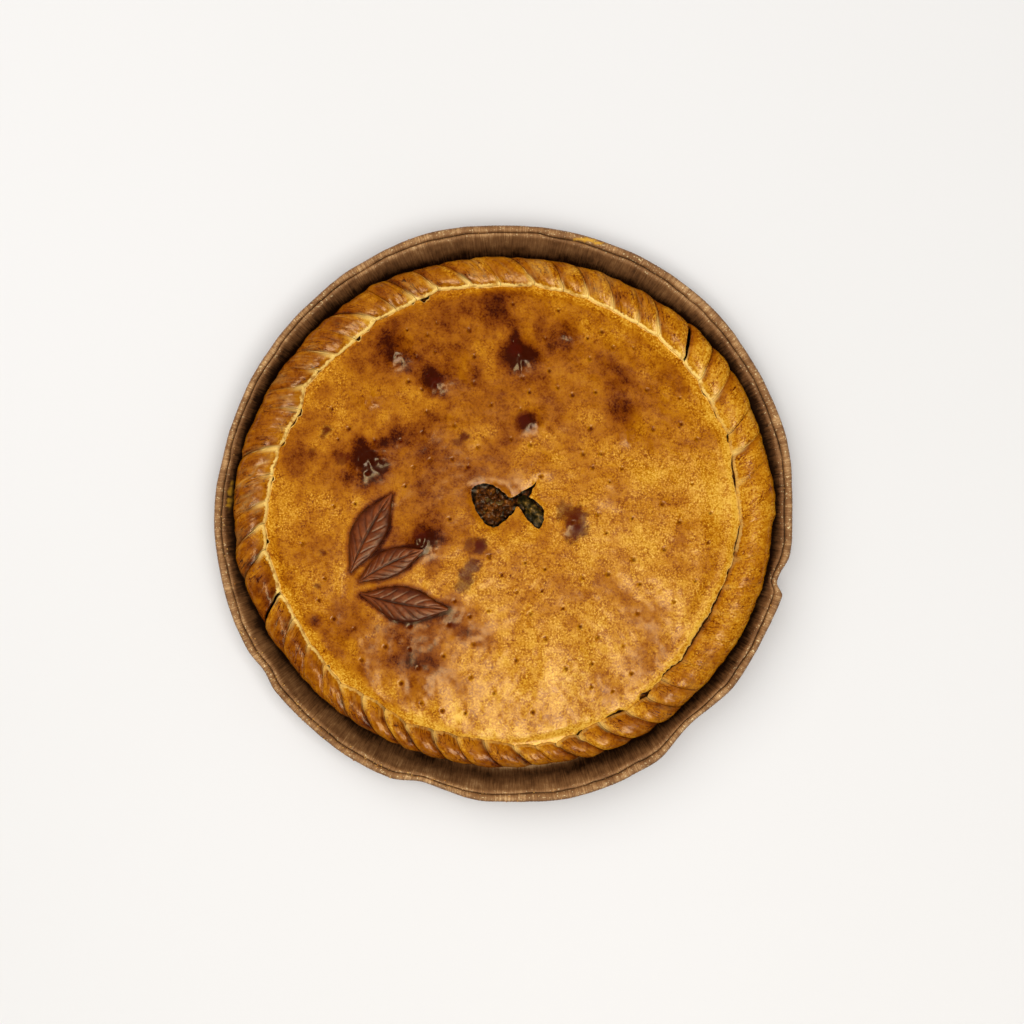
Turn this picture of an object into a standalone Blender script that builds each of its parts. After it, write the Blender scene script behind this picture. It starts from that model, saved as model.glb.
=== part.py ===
"""A round meat empanada with a crimped rope edge, in its brown paper baking case.

Metres, +Z up. The case stands on z = 0 and the Z axis runs up through the middle of its rim.
"""

import math
import random

import bmesh
import bpy
from mathutils import Vector
from mathutils.bvhtree import BVHTree

MM = 0.001
TURN = 2 * math.pi
GAP = 0.3 * MM

# Driving sizes of the case
CASE_RADIUS = 170.2 * MM
CASE_HEIGHT = 25.2 * MM
CASE_FLOOR_RADIUS = 152.0 * MM
CASE_PAPER = 0.8 * MM
CASE_STEPS = 104
# Waves of the rim's outline: how many there are in a turn, height, and the degrees of the first crest
CASE_WAVES = ((1, 1.0 * MM, 12), (2, 0.5 * MM, 40), (3, 0.4 * MM, 70), (4, 0.6 * MM, 25))
# Each dent in the rim: degrees round from +X, depth, and the degrees that it takes before and after
CASE_DENTS = (
    (346, 5.2 * MM, 2.6, 6.5),
    (312, 5.4 * MM, 12, 13),
    (254, 4.4 * MM, 8, 13),
    (213, 1.5 * MM, 5, 5),
)
# How far the rim stands outside those waves and dents, every 15 degrees from +X, in millimetres
RIM_OFFSETS = (
    -0.2, 1.4, 0.2, 1.2, 0.7, 0.0, -0.9, 0.9, 0.0, -0.5, -0.2, -0.6,
    0.5, 0.0, 0.0, -0.2, 0.9, 0.6, 0.4, 1.8, 1.2, 0.2, -0.6, 1.2,
)  # fmt: skip

# Driving sizes of the pie
PIE_BASE = CASE_PAPER + GAP
PIE_RADIUS = 154.4 * MM
PIE_OVAL = 4.1 * MM
PIE_SHIFT = Vector((0.4, 1.6)) * MM
SEAM_RADIUS = 136.0 * MM
SEAM_OVAL = 3.2 * MM
# How far the rope's edge and the seam stand outside their ovals, every 30 degrees from +X, in millimetres
EDGE_OFFSETS = (0.3, 1.5, 0.3, -0.3, 0.5, -0.4, 0.3, -0.8, -0.2, 1.3, 2.8, 1.2)
SEAM_OFFSETS = (0.0, 0.8, 1.3, 0.8, 0.6, -2.4, -0.4, -1.4, 0.4, 2.6, 2.0, -1.8)
ROPE_TOP = 30.0 * MM
ROPE_CENTRE = Vector((146.5, 20.5)) * MM
ROPE_FOOT = 10.0 * MM
# Each groove between two strands: its degrees at the seam and at the rope's edge, and its depth in
# millimetres. The two deepest are slits where the dough has split.
GROOVES = (
    (7.2, 12.8, 0.9), (14.6, 17.6, 1.5), (19.5, 24.5, 1.0), (28.3, 32.5, 1.6), (34.4, 38.8, 1.8),
    (40.3, 46.3, 7.5), (49.0, 55.8, 1.6), (54.8, 60.8, 1.2), (61.8, 67.8, 1.3), (68.7, 73.8, 1.5),
    (75.0, 79.8, 1.4), (82.3, 88.8, 1.5), (90.8, 96.0, 1.0), (98.0, 105.0, 1.7), (106.3, 110.8, 1.6),
    (112.3, 117.3, 1.5), (117.8, 122.3, 1.2), (123.4, 131.5, 2.0), (130.5, 137.0, 0.7),
    (137.0, 142.8, 1.3), (142.5, 148.0, 0.8), (147.6, 153.3, 1.3), (153.0, 158.3, 0.8),
    (158.5, 163.2, 0.6), (163.8, 168.3, 1.7), (170.5, 175.0, 0.7), (177.3, 182.0, 1.3),
    (182.6, 187.8, 1.4), (188.8, 194.8, 1.9), (199.7, 205.3, 7.5), (206.8, 213.5, 1.3),
    (214.0, 220.4, 1.1), (220.4, 227.0, 1.2), (226.4, 233.7, 1.6), (232.6, 241.6, 2.4),
    (239.0, 247.0, 2.2), (245.4, 251.6, 2.6), (252.4, 257.6, 2.8), (258.5, 264.0, 1.6),
    (265.4, 270.5, 1.8), (272.8, 277.4, 2.3), (278.0, 282.6, 1.2), (283.0, 287.8, 2.3),
    (288.8, 293.8, 2.2), (294.8, 300.6, 2.2), (302.2, 307.2, 1.7), (308.3, 313.0, 1.5),
    (313.8, 318.8, 1.2), (320.5, 325.5, 0.6), (328.0, 332.2, 0.5), (335.0, 338.8, 0.6),
    (341.6, 345.2, 0.7), (348.6, 352.4, 0.8), (357.0, 361.5, 0.5),
)  # fmt: skip
# A strand's section from groove to groove: the share of its width, and of the groove's depth, at each point
STRAND_SECTION = ((0.0, 1.0), (0.13, 0.32), (0.36, 0.0), (0.62, -0.06), (0.86, 0.1))
DEEPEST_CUT = 0.75
DEEPEST_FOLD = 3.0
DOUGH = 3.6 * MM

# Driving sizes of the lid
LID_EDGE = 26.6 * MM
LID_CENTRE = 34.6 * MM
LID_THICKNESS = 3.8 * MM
LID_STEPS = 84
LID_RINGS = 13
DOME_POWER = 2.6
# Blisters and broad swells of the lid: place, radius and height of each
BLISTERS = (
    (9.4, 92.6, 10, 3.0),
    (-40.9, 77.9, 8, 2.0),
    (15.3, 53.8, 8, 2.2),
    (-80.0, 32.1, 12, 2.8),
    (-47.6, -16.2, 9, 2.4),
    (37.0, 105.3, 6, 1.4),
    (-61.8, 93.8, 9, 1.8),
    (-77.6, 67.3, 7, 1.4),
    (40.4, -5.6, 6, 1.3),
    (72.3, 45.8, 8, 1.4),
)
SWELLS = (
    (27, -84, 27, 1.6),
    (-34, 48, 24, 1.3),
    (102, -42, 24, 1.6),
    (2.4, 4, 20, -1.6),
    (70, 20, 28, 0.9),
    (-60, -86, 24, 0.8),
)

# The torn steam vent, as seen from above, about its own middle
VENT_PLACE = Vector((2.4, 5.0)) * MM
VENT_OUTLINE = (
    (-19.5, 10.8), (-13.4, 12.4), (-7.0, 10.8), (-1.9, 7.0), (1.9, 4.4), (8.9, 8.2),
    (14.1, 10.9), (17.2, 13.6), (15.2, 8.8), (13.1, 5.1), (16.9, 2.5), (21.4, -3.2),
    (21.4, -9.6), (19.1, -13.8), (14.7, -11.5), (10.2, -5.8), (7.0, -1.3), (5.1, -1.3),
    (3.2, -5.2), (-1.9, -9.3), (-6.4, -12.8), (-12.1, -11.5), (-16.6, -5.8), (-19.8, 1.2),
    (-21.1, 6.4),
)  # fmt: skip

# Lumps of the filling, only where the vent can show them
LUMPS_RADIUS = 26 * MM
LUMP_HEIGHT = 2.6 * MM
FILLING_STEPS = 40

# Pastry leaves that lie on the lid: direction, length and width of each, fanned from one stalk
LEAF_STALK = Vector((-95.0, -45.0)) * MM
LEAVES = ((62, 52 * MM, 19 * MM), (26, 42 * MM, 15 * MM), (-10, 52 * MM, 19 * MM))
LEAF_START = 12.0 * MM
LEAF_THICKNESS = 2.4 * MM
LEAF_TIP = 0.8 * MM


# Outlines seen from above, as radius by angle


def eased(values, angle):
    """A length at an angle, eased between values in millimetres that are set evenly round a turn."""
    place = angle / TURN * len(values) % len(values)
    before = math.floor(place)
    share = (1 - math.cos(math.pi * (place - before))) / 2
    first, second = values[before % len(values)], values[(before + 1) % len(values)]
    return (first + share * (second - first)) * MM


def dent(angle, centre, before, after):
    """1 in the middle of a dent, falling smoothly to 0 at its clockwise and anticlockwise ends."""
    offset = (math.degrees(angle) - centre + 180) % 360 - 180
    share = min(abs(offset) / (after if offset > 0 else before), 1)
    return (math.cos(math.pi * share) + 1) / 2


def case_bulge(angle):
    """How far the outline of the case's rim stands out from a circle."""
    waves = sum(
        height * math.cos(count * (angle - math.radians(phase)))
        for count, height, phase in CASE_WAVES
    )
    dents = sum(depth * dent(angle, centre, *width) for centre, depth, *width in CASE_DENTS)
    return waves - dents + eased(RIM_OFFSETS, angle)


def pie_edge(angle):
    """Radius of the rope's outer edge: a slight oval, a little off centre and uneven."""
    shift = PIE_SHIFT.x * math.cos(angle) + PIE_SHIFT.y * math.sin(angle)
    return PIE_RADIUS + PIE_OVAL * math.cos(2 * angle) + shift + eased(EDGE_OFFSETS, angle)


def seam_edge(angle):
    """Radius of the seam where the lid meets the rope."""
    return SEAM_RADIUS + SEAM_OVAL * math.cos(2 * angle) + eased(SEAM_OFFSETS, angle)


def pie_radius(radius, angle):
    """A radius of the round profile, carried over to the pie's own uneven outline."""
    seam = seam_edge(angle)
    if radius <= SEAM_RADIUS:
        return radius * seam / SEAM_RADIUS
    share = (radius - SEAM_RADIUS) / (PIE_RADIUS - SEAM_RADIUS)
    return seam + share * (pie_edge(angle) - seam)


def dome(share):
    """Rise of the lid's plain dome, where share runs from 0 in the middle to 1 at the seam."""
    return (LID_CENTRE - LID_EDGE) * (1 - share**DOME_POWER)


def lid_height(x, y):
    """Height of the lid's upper face: a low dome that rolls down at its edge, with blisters and swells."""
    share = min(math.hypot(x, y) / seam_edge(math.atan2(y, x)), 1)
    roll = max(0, (share - 0.95) / 0.05) ** 2
    height = LID_EDGE + dome(share) - 1.2 * MM * roll
    calm = min(1, (1 - share) / 0.1)
    for bx, by, radius, rise in BLISTERS + SWELLS:
        distance = math.hypot(x - bx * MM, y - by * MM) / (radius * MM)
        height += calm * rise * MM * math.exp(-1.4 * distance**2)
    return height


# Helpers that make and shape meshes


def baked(obj):
    """The object with its modifiers applied to its mesh."""
    graph = bpy.context.evaluated_depsgraph_get()
    mesh = bpy.data.meshes.new_from_object(obj.evaluated_get(graph))
    obj.modifiers.clear()
    obj.data = mesh
    return obj


def turned(name, profile, steps, collection):
    """A profile of (radius, height) points swept round Z, with its points on the axis made one."""
    mesh = bpy.data.meshes.new(name)
    edges = [(i, i + 1) for i in range(len(profile) - 1)]
    mesh.from_pydata([(radius, 0, height) for radius, height in profile], edges, [])
    obj = bpy.data.objects.new(name, mesh)
    collection.objects.link(obj)
    screw = obj.modifiers.new("turn", "SCREW")
    screw.angle = TURN
    screw.steps = screw.render_steps = steps
    screw.use_merge_vertices = True
    screw.merge_threshold = 0.01 * MM
    return baked(obj)


def reshape(obj, place):
    """Moves each vertex to place(radius, angle, height); the angle runs from 0 to a full turn."""
    for vertex in obj.data.vertices:
        x, y, z = vertex.co
        vertex.co = place(math.hypot(x, y), math.atan2(y, x) % TURN, z)
    return obj


def around(radius, angle, height):
    return Vector((radius * math.cos(angle), radius * math.sin(angle), height))


def material(obj, colour, roughness):
    """A plain finish in one linear colour."""
    finish = bpy.data.materials.new(obj.name)
    finish.use_nodes = True
    shader = finish.node_tree.nodes["Principled BSDF"]
    shader.inputs["Base Color"].default_value = (*colour, 1)
    shader.inputs["Roughness"].default_value = roughness
    obj.data.materials.clear()
    obj.data.materials.append(finish)
    obj.data.shade_smooth()
    obj.data.set_sharp_from_angle(angle=math.radians(40))
    return obj


# The paper case


def make_case(collection):
    """A thin pan with a leaning wall, an inner bead, a groove and a lip that curls down."""
    crest = CASE_HEIGHT - 0.3 * MM
    # Radius, height, and how much of the rim's waves and dents each ring takes
    rings = (
        (0, CASE_PAPER, 0),
        (CASE_FLOOR_RADIUS - 2.4 * MM, CASE_PAPER, 0),
        (CASE_FLOOR_RADIUS, CASE_PAPER + 1.6 * MM, 0.05),
        (CASE_RADIUS - 10.4 * MM, 14 * MM, 0.3),
        (CASE_RADIUS - 6.1 * MM, crest - 1.0 * MM, 0.55),
        (CASE_RADIUS - 5.0 * MM, crest, 0.6),
        (CASE_RADIUS - 4.1 * MM, crest - 0.8 * MM, 0.65),
        (CASE_RADIUS - 2.2 * MM, CASE_HEIGHT, 0.9),
        (CASE_RADIUS - 0.5 * MM, CASE_HEIGHT - 0.9 * MM, 1),
        (CASE_RADIUS, CASE_HEIGHT - 3.4 * MM, 1),
    )
    case = turned("paper_case", [ring[:2] for ring in rings], CASE_STEPS, collection)

    def place(radius, angle, height):
        share = next(s for r, z, s in rings if abs(r - radius) < GAP and abs(z - height) < GAP)
        return around(radius + share * case_bulge(angle), angle, height)

    reshape(case, place)
    wall = case.modifiers.new("paper", "SOLIDIFY")
    wall.thickness = CASE_PAPER
    wall.offset = -1
    wall.use_even_offset = True
    return material(baked(case), (0.20, 0.12, 0.065), 0.75)


# The base crust with its rope


def make_base_crust(collection):
    """A shallow dough bowl whose wall ends in a rope of slanting folds."""
    top = ROPE_TOP
    profile = (
        (0, PIE_BASE + DOUGH),
        (SEAM_RADIUS + 2.0 * MM, PIE_BASE + DOUGH),
        (SEAM_RADIUS + 1.2 * MM, LID_EDGE - LID_THICKNESS),
        (SEAM_RADIUS, LID_EDGE - 0.4 * MM),
        (SEAM_RADIUS + 2.6 * MM, top - 1.2 * MM),
        (SEAM_RADIUS + 8.0 * MM, top),
        (PIE_RADIUS - 4.2 * MM, top - 1.6 * MM),
        (PIE_RADIUS - 0.6 * MM, top - 5.4 * MM),
        (PIE_RADIUS - 0.8 * MM, top - 10.5 * MM),
        (PIE_RADIUS - 4.0 * MM, 12.0 * MM),
        (PIE_RADIUS - 6.5 * MM, PIE_BASE + 3.4 * MM),
        (PIE_RADIUS - 10.5 * MM, PIE_BASE),
        (0, PIE_BASE),
    )
    columns = len(STRAND_SECTION)
    steps = columns * len(GROOVES)
    crust = turned("base_crust", profile, steps, collection)
    first = GROOVES[0]
    grooves = GROOVES + ((first[0] + 360, first[1] + 360, first[2]),)

    def place(radius, angle, height):
        step = round(angle / TURN * steps) % steps
        strand, column = divmod(step, columns)
        along, relief = STRAND_SECTION[column]
        here, after = grooves[strand], grooves[strand + 1]
        seam, edge = (here[n] + along * (after[n] - here[n]) for n in (0, 1))
        across = min(1, max(0, (PIE_RADIUS - radius) / (PIE_RADIUS - SEAM_RADIUS)))
        turn = math.radians(edge + across * (seam - edge)) % TURN
        if radius > SEAM_RADIUS - GAP and height > ROPE_FOOT:
            nearest = here if along < 0.5 else after
            depth = here[2] if column == 0 else relief * min(nearest[2], DEEPEST_FOLD)
            depth *= MM
            fade = min(1, (height - ROPE_FOOT) / (ROPE_CENTRE.y - ROPE_FOOT))
            section = Vector((radius, height)) - ROPE_CENTRE
            section *= 1 - min(depth * fade / section.length, DEEPEST_CUT)
            radius, height = ROPE_CENTRE + section
        return around(pie_radius(radius, turn), turn, height)

    reshape(crust, place)
    return material(crust, (0.42, 0.19, 0.04), 0.45)


# The lid, its vent and the filling below


def make_vent_cutter(collection):
    """The vent's outline as a flat curve, made thick enough to pass right through the lid."""
    curve = bpy.data.curves.new("vent_cutter", "CURVE")
    curve.dimensions = "2D"
    curve.fill_mode = "BOTH"
    curve.extrude = LID_CENTRE
    spline = curve.splines.new("POLY")
    spline.points.add(len(VENT_OUTLINE) - 1)
    for point, (x, y) in zip(spline.points, VENT_OUTLINE):
        point.co = (x * MM, y * MM, 0, 1)
    spline.use_cyclic_u = True
    outline = bpy.data.objects.new("vent_outline", curve)
    collection.objects.link(outline)
    bpy.context.view_layer.update()
    graph = bpy.context.evaluated_depsgraph_get()
    mesh = bpy.data.meshes.new_from_object(outline.evaluated_get(graph))
    bpy.data.objects.remove(outline)
    welded = bmesh.new()
    welded.from_mesh(mesh)
    bmesh.ops.remove_doubles(welded, verts=welded.verts, dist=0.01 * MM)
    bmesh.ops.recalc_face_normals(welded, faces=welded.faces)
    welded.to_mesh(mesh)
    welded.free()
    cutter = bpy.data.objects.new("vent_cutter", mesh)
    collection.objects.link(cutter)
    cutter.location = (*VENT_PLACE, LID_EDGE)
    cutter.hide_render = True
    cutter.display_type = "WIRE"
    return cutter


def make_lid(collection, cutter):
    """The top sheet of dough, a low dome with its blisters, cut through by the vent."""
    edge = SEAM_RADIUS - GAP
    under = LID_EDGE - LID_THICKNESS
    spaced = [edge * i / LID_RINGS for i in range(LID_RINGS)]
    profile = [(radius, LID_CENTRE) for radius in spaced + [edge - 2.5 * MM, edge]]
    profile += [(edge, under), (edge * 0.5, under), (0, under)]
    lid = turned("lid", profile, LID_STEPS, collection)

    def place(radius, angle, height):
        at = around(pie_radius(radius, angle), angle, 0)
        share = min(1, radius / edge)
        if height > LID_EDGE:
            at.z = lid_height(at.x, at.y)
        else:
            at.z = under + dome(share)
        return at

    reshape(lid, place)
    cut = lid.modifiers.new("vent", "BOOLEAN")
    cut.operation = "DIFFERENCE"
    cut.solver = "EXACT"
    cut.object = cutter
    return material(baked(lid), (0.46, 0.20, 0.035), 0.4)


def make_filling(collection):
    """The meat filling, a disc that fills the bowl, with lumps where the vent shows it."""
    edge = SEAM_RADIUS + 1.2 * MM - GAP
    low = PIE_BASE + DOUGH + GAP
    rim = LID_EDGE - LID_THICKNESS - GAP
    profile = [(LUMPS_RADIUS * i / 6, LID_CENTRE) for i in range(7)]
    profile += [(70 * MM, LID_CENTRE), (SEAM_RADIUS - 3 * MM, rim), (edge, rim), (edge, low), (0, low)]
    filling = turned("filling", profile, FILLING_STEPS, collection)
    draw = random.Random(3)

    def place(radius, angle, height):
        at = around(pie_radius(radius, angle), angle, height)
        if height > rim + GAP:
            at.z = rim + dome(radius / (SEAM_RADIUS - GAP)) - 0.2 * MM
            if radius < LUMPS_RADIUS:
                at.z -= draw.uniform(0, LUMP_HEIGHT)
        return at

    reshape(filling, place)
    return material(filling, (0.055, 0.028, 0.012), 0.5)


# The pastry leaves


def make_leaf(number, direction, length, width, lid_tree, collection):
    """A slab of dough shaped to a pointed leaf, creased along its midrib and laid on the lid."""
    leaf_mesh = bmesh.new()
    bmesh.ops.create_grid(leaf_mesh, x_segments=12, y_segments=4, size=0.5)
    mesh = bpy.data.meshes.new(f"pastry_leaf_{number}")
    leaf_mesh.to_mesh(mesh)
    leaf_mesh.free()
    leaf = bpy.data.objects.new(mesh.name, mesh)
    collection.objects.link(leaf)
    slab = leaf.modifiers.new("dough", "SOLIDIFY")
    slab.thickness = 1
    slab.offset = 1
    baked(leaf)
    heading = Vector((math.cos(math.radians(direction)), math.sin(math.radians(direction))))
    side = Vector((-heading.y, heading.x))
    for vertex in leaf.data.vertices:
        along, across, up = vertex.co.x + 0.5, vertex.co.y * 2, vertex.co.z
        half = LEAF_TIP + 0.5 * width * math.sin(math.pi * along) ** 1.2
        at = LEAF_STALK + heading * (LEAF_START + along * length) + side * across * half
        hit = lid_tree.ray_cast(Vector((at.x, at.y, 1)), Vector((0, 0, -1)))[0]
        crown = 1 - 0.35 * abs(across) ** 2 - (0.3 if abs(across) < 0.1 else 0)
        vertex.co = (at.x, at.y, hit.z + 1.3 * GAP + up * LEAF_THICKNESS * crown)
    return material(leaf, (0.20, 0.055, 0.012), 0.3)


def tree_of(obj):
    """The object's mesh ready for ray casts."""
    solid = bmesh.new()
    solid.from_mesh(obj.data)
    tree = BVHTree.FromBMesh(solid)
    solid.free()
    return tree


def new_collection(name):
    collection = bpy.data.collections.new(name)
    bpy.context.scene.collection.children.link(collection)
    return collection


def centre_on_axis(case, parts):
    """Moves every part alike, so that the Z axis runs through the middle of the case's box."""
    xs = [vertex.co.x for vertex in case.data.vertices]
    ys = [vertex.co.y for vertex in case.data.vertices]
    middle = Vector(((min(xs) + max(xs)) / 2, (min(ys) + max(ys)) / 2, 0))
    for part in parts:
        part.location = -middle


def main():
    for obj in list(bpy.data.objects):
        bpy.data.objects.remove(obj)
    parts = new_collection("meat_empanada")
    cutters = new_collection("cutters")
    case = make_case(parts)
    make_base_crust(parts)
    cutter = make_vent_cutter(cutters)
    whole_lid = make_lid(parts, cutter)
    make_filling(parts)
    lid_tree = tree_of(whole_lid)
    for number, (direction, length, width) in enumerate(LEAVES, 1):
        make_leaf(number, direction, length, width, lid_tree, parts)
    centre_on_axis(case, parts.objects)


main()
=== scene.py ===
# %% [markdown]
# # A meat empanada in its paper case
#
# This lesson dresses a big round pie: a domed lid of egg-washed dough, a rope of folded dough round its
# edge, a torn steam vent that shows the meat, a sprig of pastry leaves, and the pleated paper case that it
# was baked in. The plain solids are already packed as a fixed frame. Each piece here is a finer surface
# that stands in the place of one of them, so first we load the frame and note the size of its box.

# %% Load the frame
import math

import bpy
import numpy as np
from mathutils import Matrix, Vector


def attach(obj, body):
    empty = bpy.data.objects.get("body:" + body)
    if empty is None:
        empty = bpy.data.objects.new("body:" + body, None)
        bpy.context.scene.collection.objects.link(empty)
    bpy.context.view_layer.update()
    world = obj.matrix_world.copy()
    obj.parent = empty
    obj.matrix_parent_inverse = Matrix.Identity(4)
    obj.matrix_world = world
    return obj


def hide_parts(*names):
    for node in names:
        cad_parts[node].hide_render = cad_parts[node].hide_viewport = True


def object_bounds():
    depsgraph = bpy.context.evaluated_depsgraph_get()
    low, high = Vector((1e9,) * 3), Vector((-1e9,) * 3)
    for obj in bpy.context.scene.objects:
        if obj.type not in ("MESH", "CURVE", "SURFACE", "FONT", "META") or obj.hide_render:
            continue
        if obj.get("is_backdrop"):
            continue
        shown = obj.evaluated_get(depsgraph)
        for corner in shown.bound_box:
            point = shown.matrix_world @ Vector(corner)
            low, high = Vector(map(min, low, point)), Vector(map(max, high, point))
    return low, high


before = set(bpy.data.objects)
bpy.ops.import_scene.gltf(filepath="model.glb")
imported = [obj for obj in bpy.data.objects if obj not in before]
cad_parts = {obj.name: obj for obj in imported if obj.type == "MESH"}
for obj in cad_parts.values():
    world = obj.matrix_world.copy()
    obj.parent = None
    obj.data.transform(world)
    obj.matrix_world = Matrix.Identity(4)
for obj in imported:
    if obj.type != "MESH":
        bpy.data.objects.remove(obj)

solid_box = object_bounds()
print("solids:", sorted(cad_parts))

# %% [markdown]
# ## Sizes
#
# Shapes are worked out in millimetres and turned into metres when a mesh is made. The driving sizes are
# those of the real pie: a case 340 mm across and 25 mm deep, and a pie about 309 mm across and 36 mm high.
# Angles run anticlockwise from the right, as seen from above.

# %% Driving sizes
MM = 0.001
TURN = 2 * np.pi
CASE_RADIUS = 170.2
CASE_HEIGHT = 25.2
CASE_FLOOR_RADIUS = 152.0
CASE_PAPER = 0.8
PIE_BASE = 1.1
PIE_RADIUS = 154.4
SEAM_RADIUS = 136.0
ROPE_TOP = 30.0
LID_EDGE = 26.6
LID_CENTRE = 34.6
LID_THICKNESS = 3.8
DOUGH = 3.6
HAIR_GAP = 0.3
print("case", 2 * CASE_RADIUS, "mm across, pie", 2 * PIE_RADIUS, "mm across")

# %% [markdown]
# ## Outlines seen from above
#
# Nothing here is a true circle. The rim of the case is a circle with a few long waves and some dents where
# hands have held it, the rope is a slight oval, and the seam inside it a slighter one. What is left over was
# measured on the photograph at even angles. Each outline is a radius worked out from an angle, so that whole
# rings of points can be asked for at once.

# %% Outlines
CASE_WAVES = ((1, 1.0, 12), (2, 0.5, 40), (3, 0.4, 70), (4, 0.6, 25))
CASE_DENTS = ((346, 5.2, 2.6, 6.5), (312, 5.4, 12, 13), (254, 4.4, 8, 13), (213, 1.5, 5, 5))
CASE_SAMPLES = 104
# Millimetres outside those shapes: the rim every 15 degrees from the right, the rope and seam every 30
RIM_OFFSETS = (
    -0.2, 1.4, 0.2, 1.2, 0.7, 0.0, -0.9, 0.9, 0.0, -0.5, -0.2, -0.6,
    0.5, 0.0, 0.0, -0.2, 0.9, 0.6, 0.4, 1.8, 1.2, 0.2, -0.6, 1.2,
)
EDGE_OFFSETS = (0.3, 1.5, 0.3, -0.3, 0.5, -0.4, 0.3, -0.8, -0.2, 1.3, 2.8, 1.2)
SEAM_OFFSETS = (0.0, 0.8, 1.3, 0.8, 0.6, -2.4, -0.4, -1.4, 0.4, 2.6, 2.0, -1.8)


def turn_between(angle, degrees):
    """Degrees from a direction to each angle, between -180 and 180."""
    return (np.degrees(angle) - degrees + 180) % 360 - 180


def eased(values, angle):
    """A number at each angle, eased by a raised cosine between values set evenly round a turn."""
    place = angle / TURN * len(values)
    before = np.floor(place).astype(int)
    share = (1 - np.cos(np.pi * (place - before))) / 2
    first, second = (np.take(values, before + n, mode="wrap") for n in (0, 1))
    return first + share * (second - first)


def case_bulge(angle):
    """Rim outline beyond its circle: a sum of cosine waves, less a raised cosine for each dent."""
    bulge = sum(h * np.cos(n * (angle - math.radians(at))) for n, h, at in CASE_WAVES)
    for centre, depth, before, after in CASE_DENTS:
        offset = turn_between(angle, centre)
        share = np.minimum(np.abs(offset) / np.where(offset > 0, after, before), 1)
        bulge = bulge - depth * (np.cos(np.pi * share) + 1) / 2
    return bulge + eased(RIM_OFFSETS, angle)


def pie_edge(angle):
    """Outer radius of the rope: an oval, 4.1 mm beyond a circle along X and within it along Y."""
    oval = PIE_RADIUS + 4.1 * np.cos(2 * angle) + 0.4 * np.cos(angle) + 1.6 * np.sin(angle)
    return oval + eased(EDGE_OFFSETS, angle)


def seam_edge(angle):
    """Radius of the seam between lid and rope: an oval, 3.2 mm beyond a circle along X."""
    return SEAM_RADIUS + 3.2 * np.cos(2 * angle) + eased(SEAM_OFFSETS, angle)


def pie_radius(radius, angle):
    """A radius of the round profile, stretched so that the seam and the edge land on their outlines."""
    seam, edge = seam_edge(angle), pie_edge(angle)
    share = (radius - SEAM_RADIUS) / (PIE_RADIUS - SEAM_RADIUS)
    return np.where(share <= 0, radius * seam / SEAM_RADIUS, seam + share * (edge - seam))


around = np.arange(CASE_SAMPLES) * TURN / CASE_SAMPLES
rim = CASE_RADIUS + case_bulge(around)
MIDDLE = np.array(
    [(f.max() + f.min()) / 2 for f in (rim * np.cos(around), rim * np.sin(around))] + [0]
)
print("middle of the case's box, mm:", MIDDLE.round(3))

# %% [markdown]
# ## Uneven surfaces
#
# Baked dough has hills of every size. A cheap way to make them is value noise: random heights on a square
# lattice, blended with the smooth step 3t² - 2t³. It takes whole arrays, repeats every 64 cells, and gives
# the same hills each time for the same seed. On an angle the cells are made to close after a whole turn.

# %% Noise
CELLS = 64


def hills(x, y, size, seed):
    """Smooth random heights from -1 to 1, with one lattice cell for each `size` of x and y."""
    lattice = np.random.default_rng(seed).uniform(-1, 1, (CELLS, CELLS))
    u, v = np.broadcast_arrays(x / size, y / size)
    i, j = np.floor(u).astype(int), np.floor(v).astype(int)
    s, t = u - i, v - j
    s, t = s * s * (3 - 2 * s), t * t * (3 - 2 * t)
    i0, i1, j0, j1 = i % CELLS, (i + 1) % CELLS, j % CELLS, (j + 1) % CELLS
    low = lattice[i0, j0] * (1 - s) + lattice[i1, j0] * s
    high = lattice[i0, j1] * (1 - s) + lattice[i1, j1] * s
    return low * (1 - t) + high * t


def ring_hills(angle, y, laps, size, seed):
    """Hills on a strip that closes round a turn: 64 cells for each lap, and `size` across."""
    return hills(angle / TURN * CELLS * laps, y / size, 1, seed)


def ridges(x, y, size, seed):
    """Sharp creases from 0 to 1: one, less the height of the hills without its sign, squared."""
    return (1 - np.abs(hills(x, y, size, seed))) ** 2


def bump(distance, radius):
    """A round bump from 1 in its middle to nothing: e to the power of minus 1.4 (d / r)²."""
    return np.exp(-1.4 * (distance / radius) ** 2)


def ramp(value, low, high):
    """The smooth step from 0 at low to 1 at high."""
    t = np.clip((value - low) / (high - low), 0, 1)
    return t * t * (3 - 2 * t)


sample = hills(np.linspace(0, CELLS, 500), 0.5, 1, 1)
print("a walk over the hills goes from", sample.min().round(2), "to", sample.max().round(2))

# %% [markdown]
# ## From arrays to meshes
#
# Most pieces are a pile of closed rings: each ring has the same number of points, neighbours are joined by
# quads, and the first and last ring are closed by a fan round one point. If the rings run from the middle
# of the top, out over the edge and back to the middle of the underside, the faces point outwards. The
# arrays go into the mesh in one call each, with no loop over the points.

# %% Mesh helpers
def make_mesh(name, points, faces):
    """A mesh object, in its place, from points in millimetres and faces of any number of corners."""
    mesh = bpy.data.meshes.new(name)
    mesh.from_pydata(((points - MIDDLE) * MM).tolist(), [], faces)
    mesh.shade_smooth()
    piece = bpy.data.objects.new(name, mesh)
    bpy.context.scene.collection.objects.link(piece)
    return piece


def ring_faces(rings, columns, start=0):
    """Quads between neighbouring rings of points, closed round their columns."""
    i, j = np.meshgrid(np.arange(rings - 1), np.arange(columns), indexing="ij")
    here, there = i * columns + j, i * columns + (j + 1) % columns
    quads = np.stack([here, here + columns, there + columns, there], axis=-1)
    return (quads.reshape(-1, 4) + start).tolist()


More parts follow.
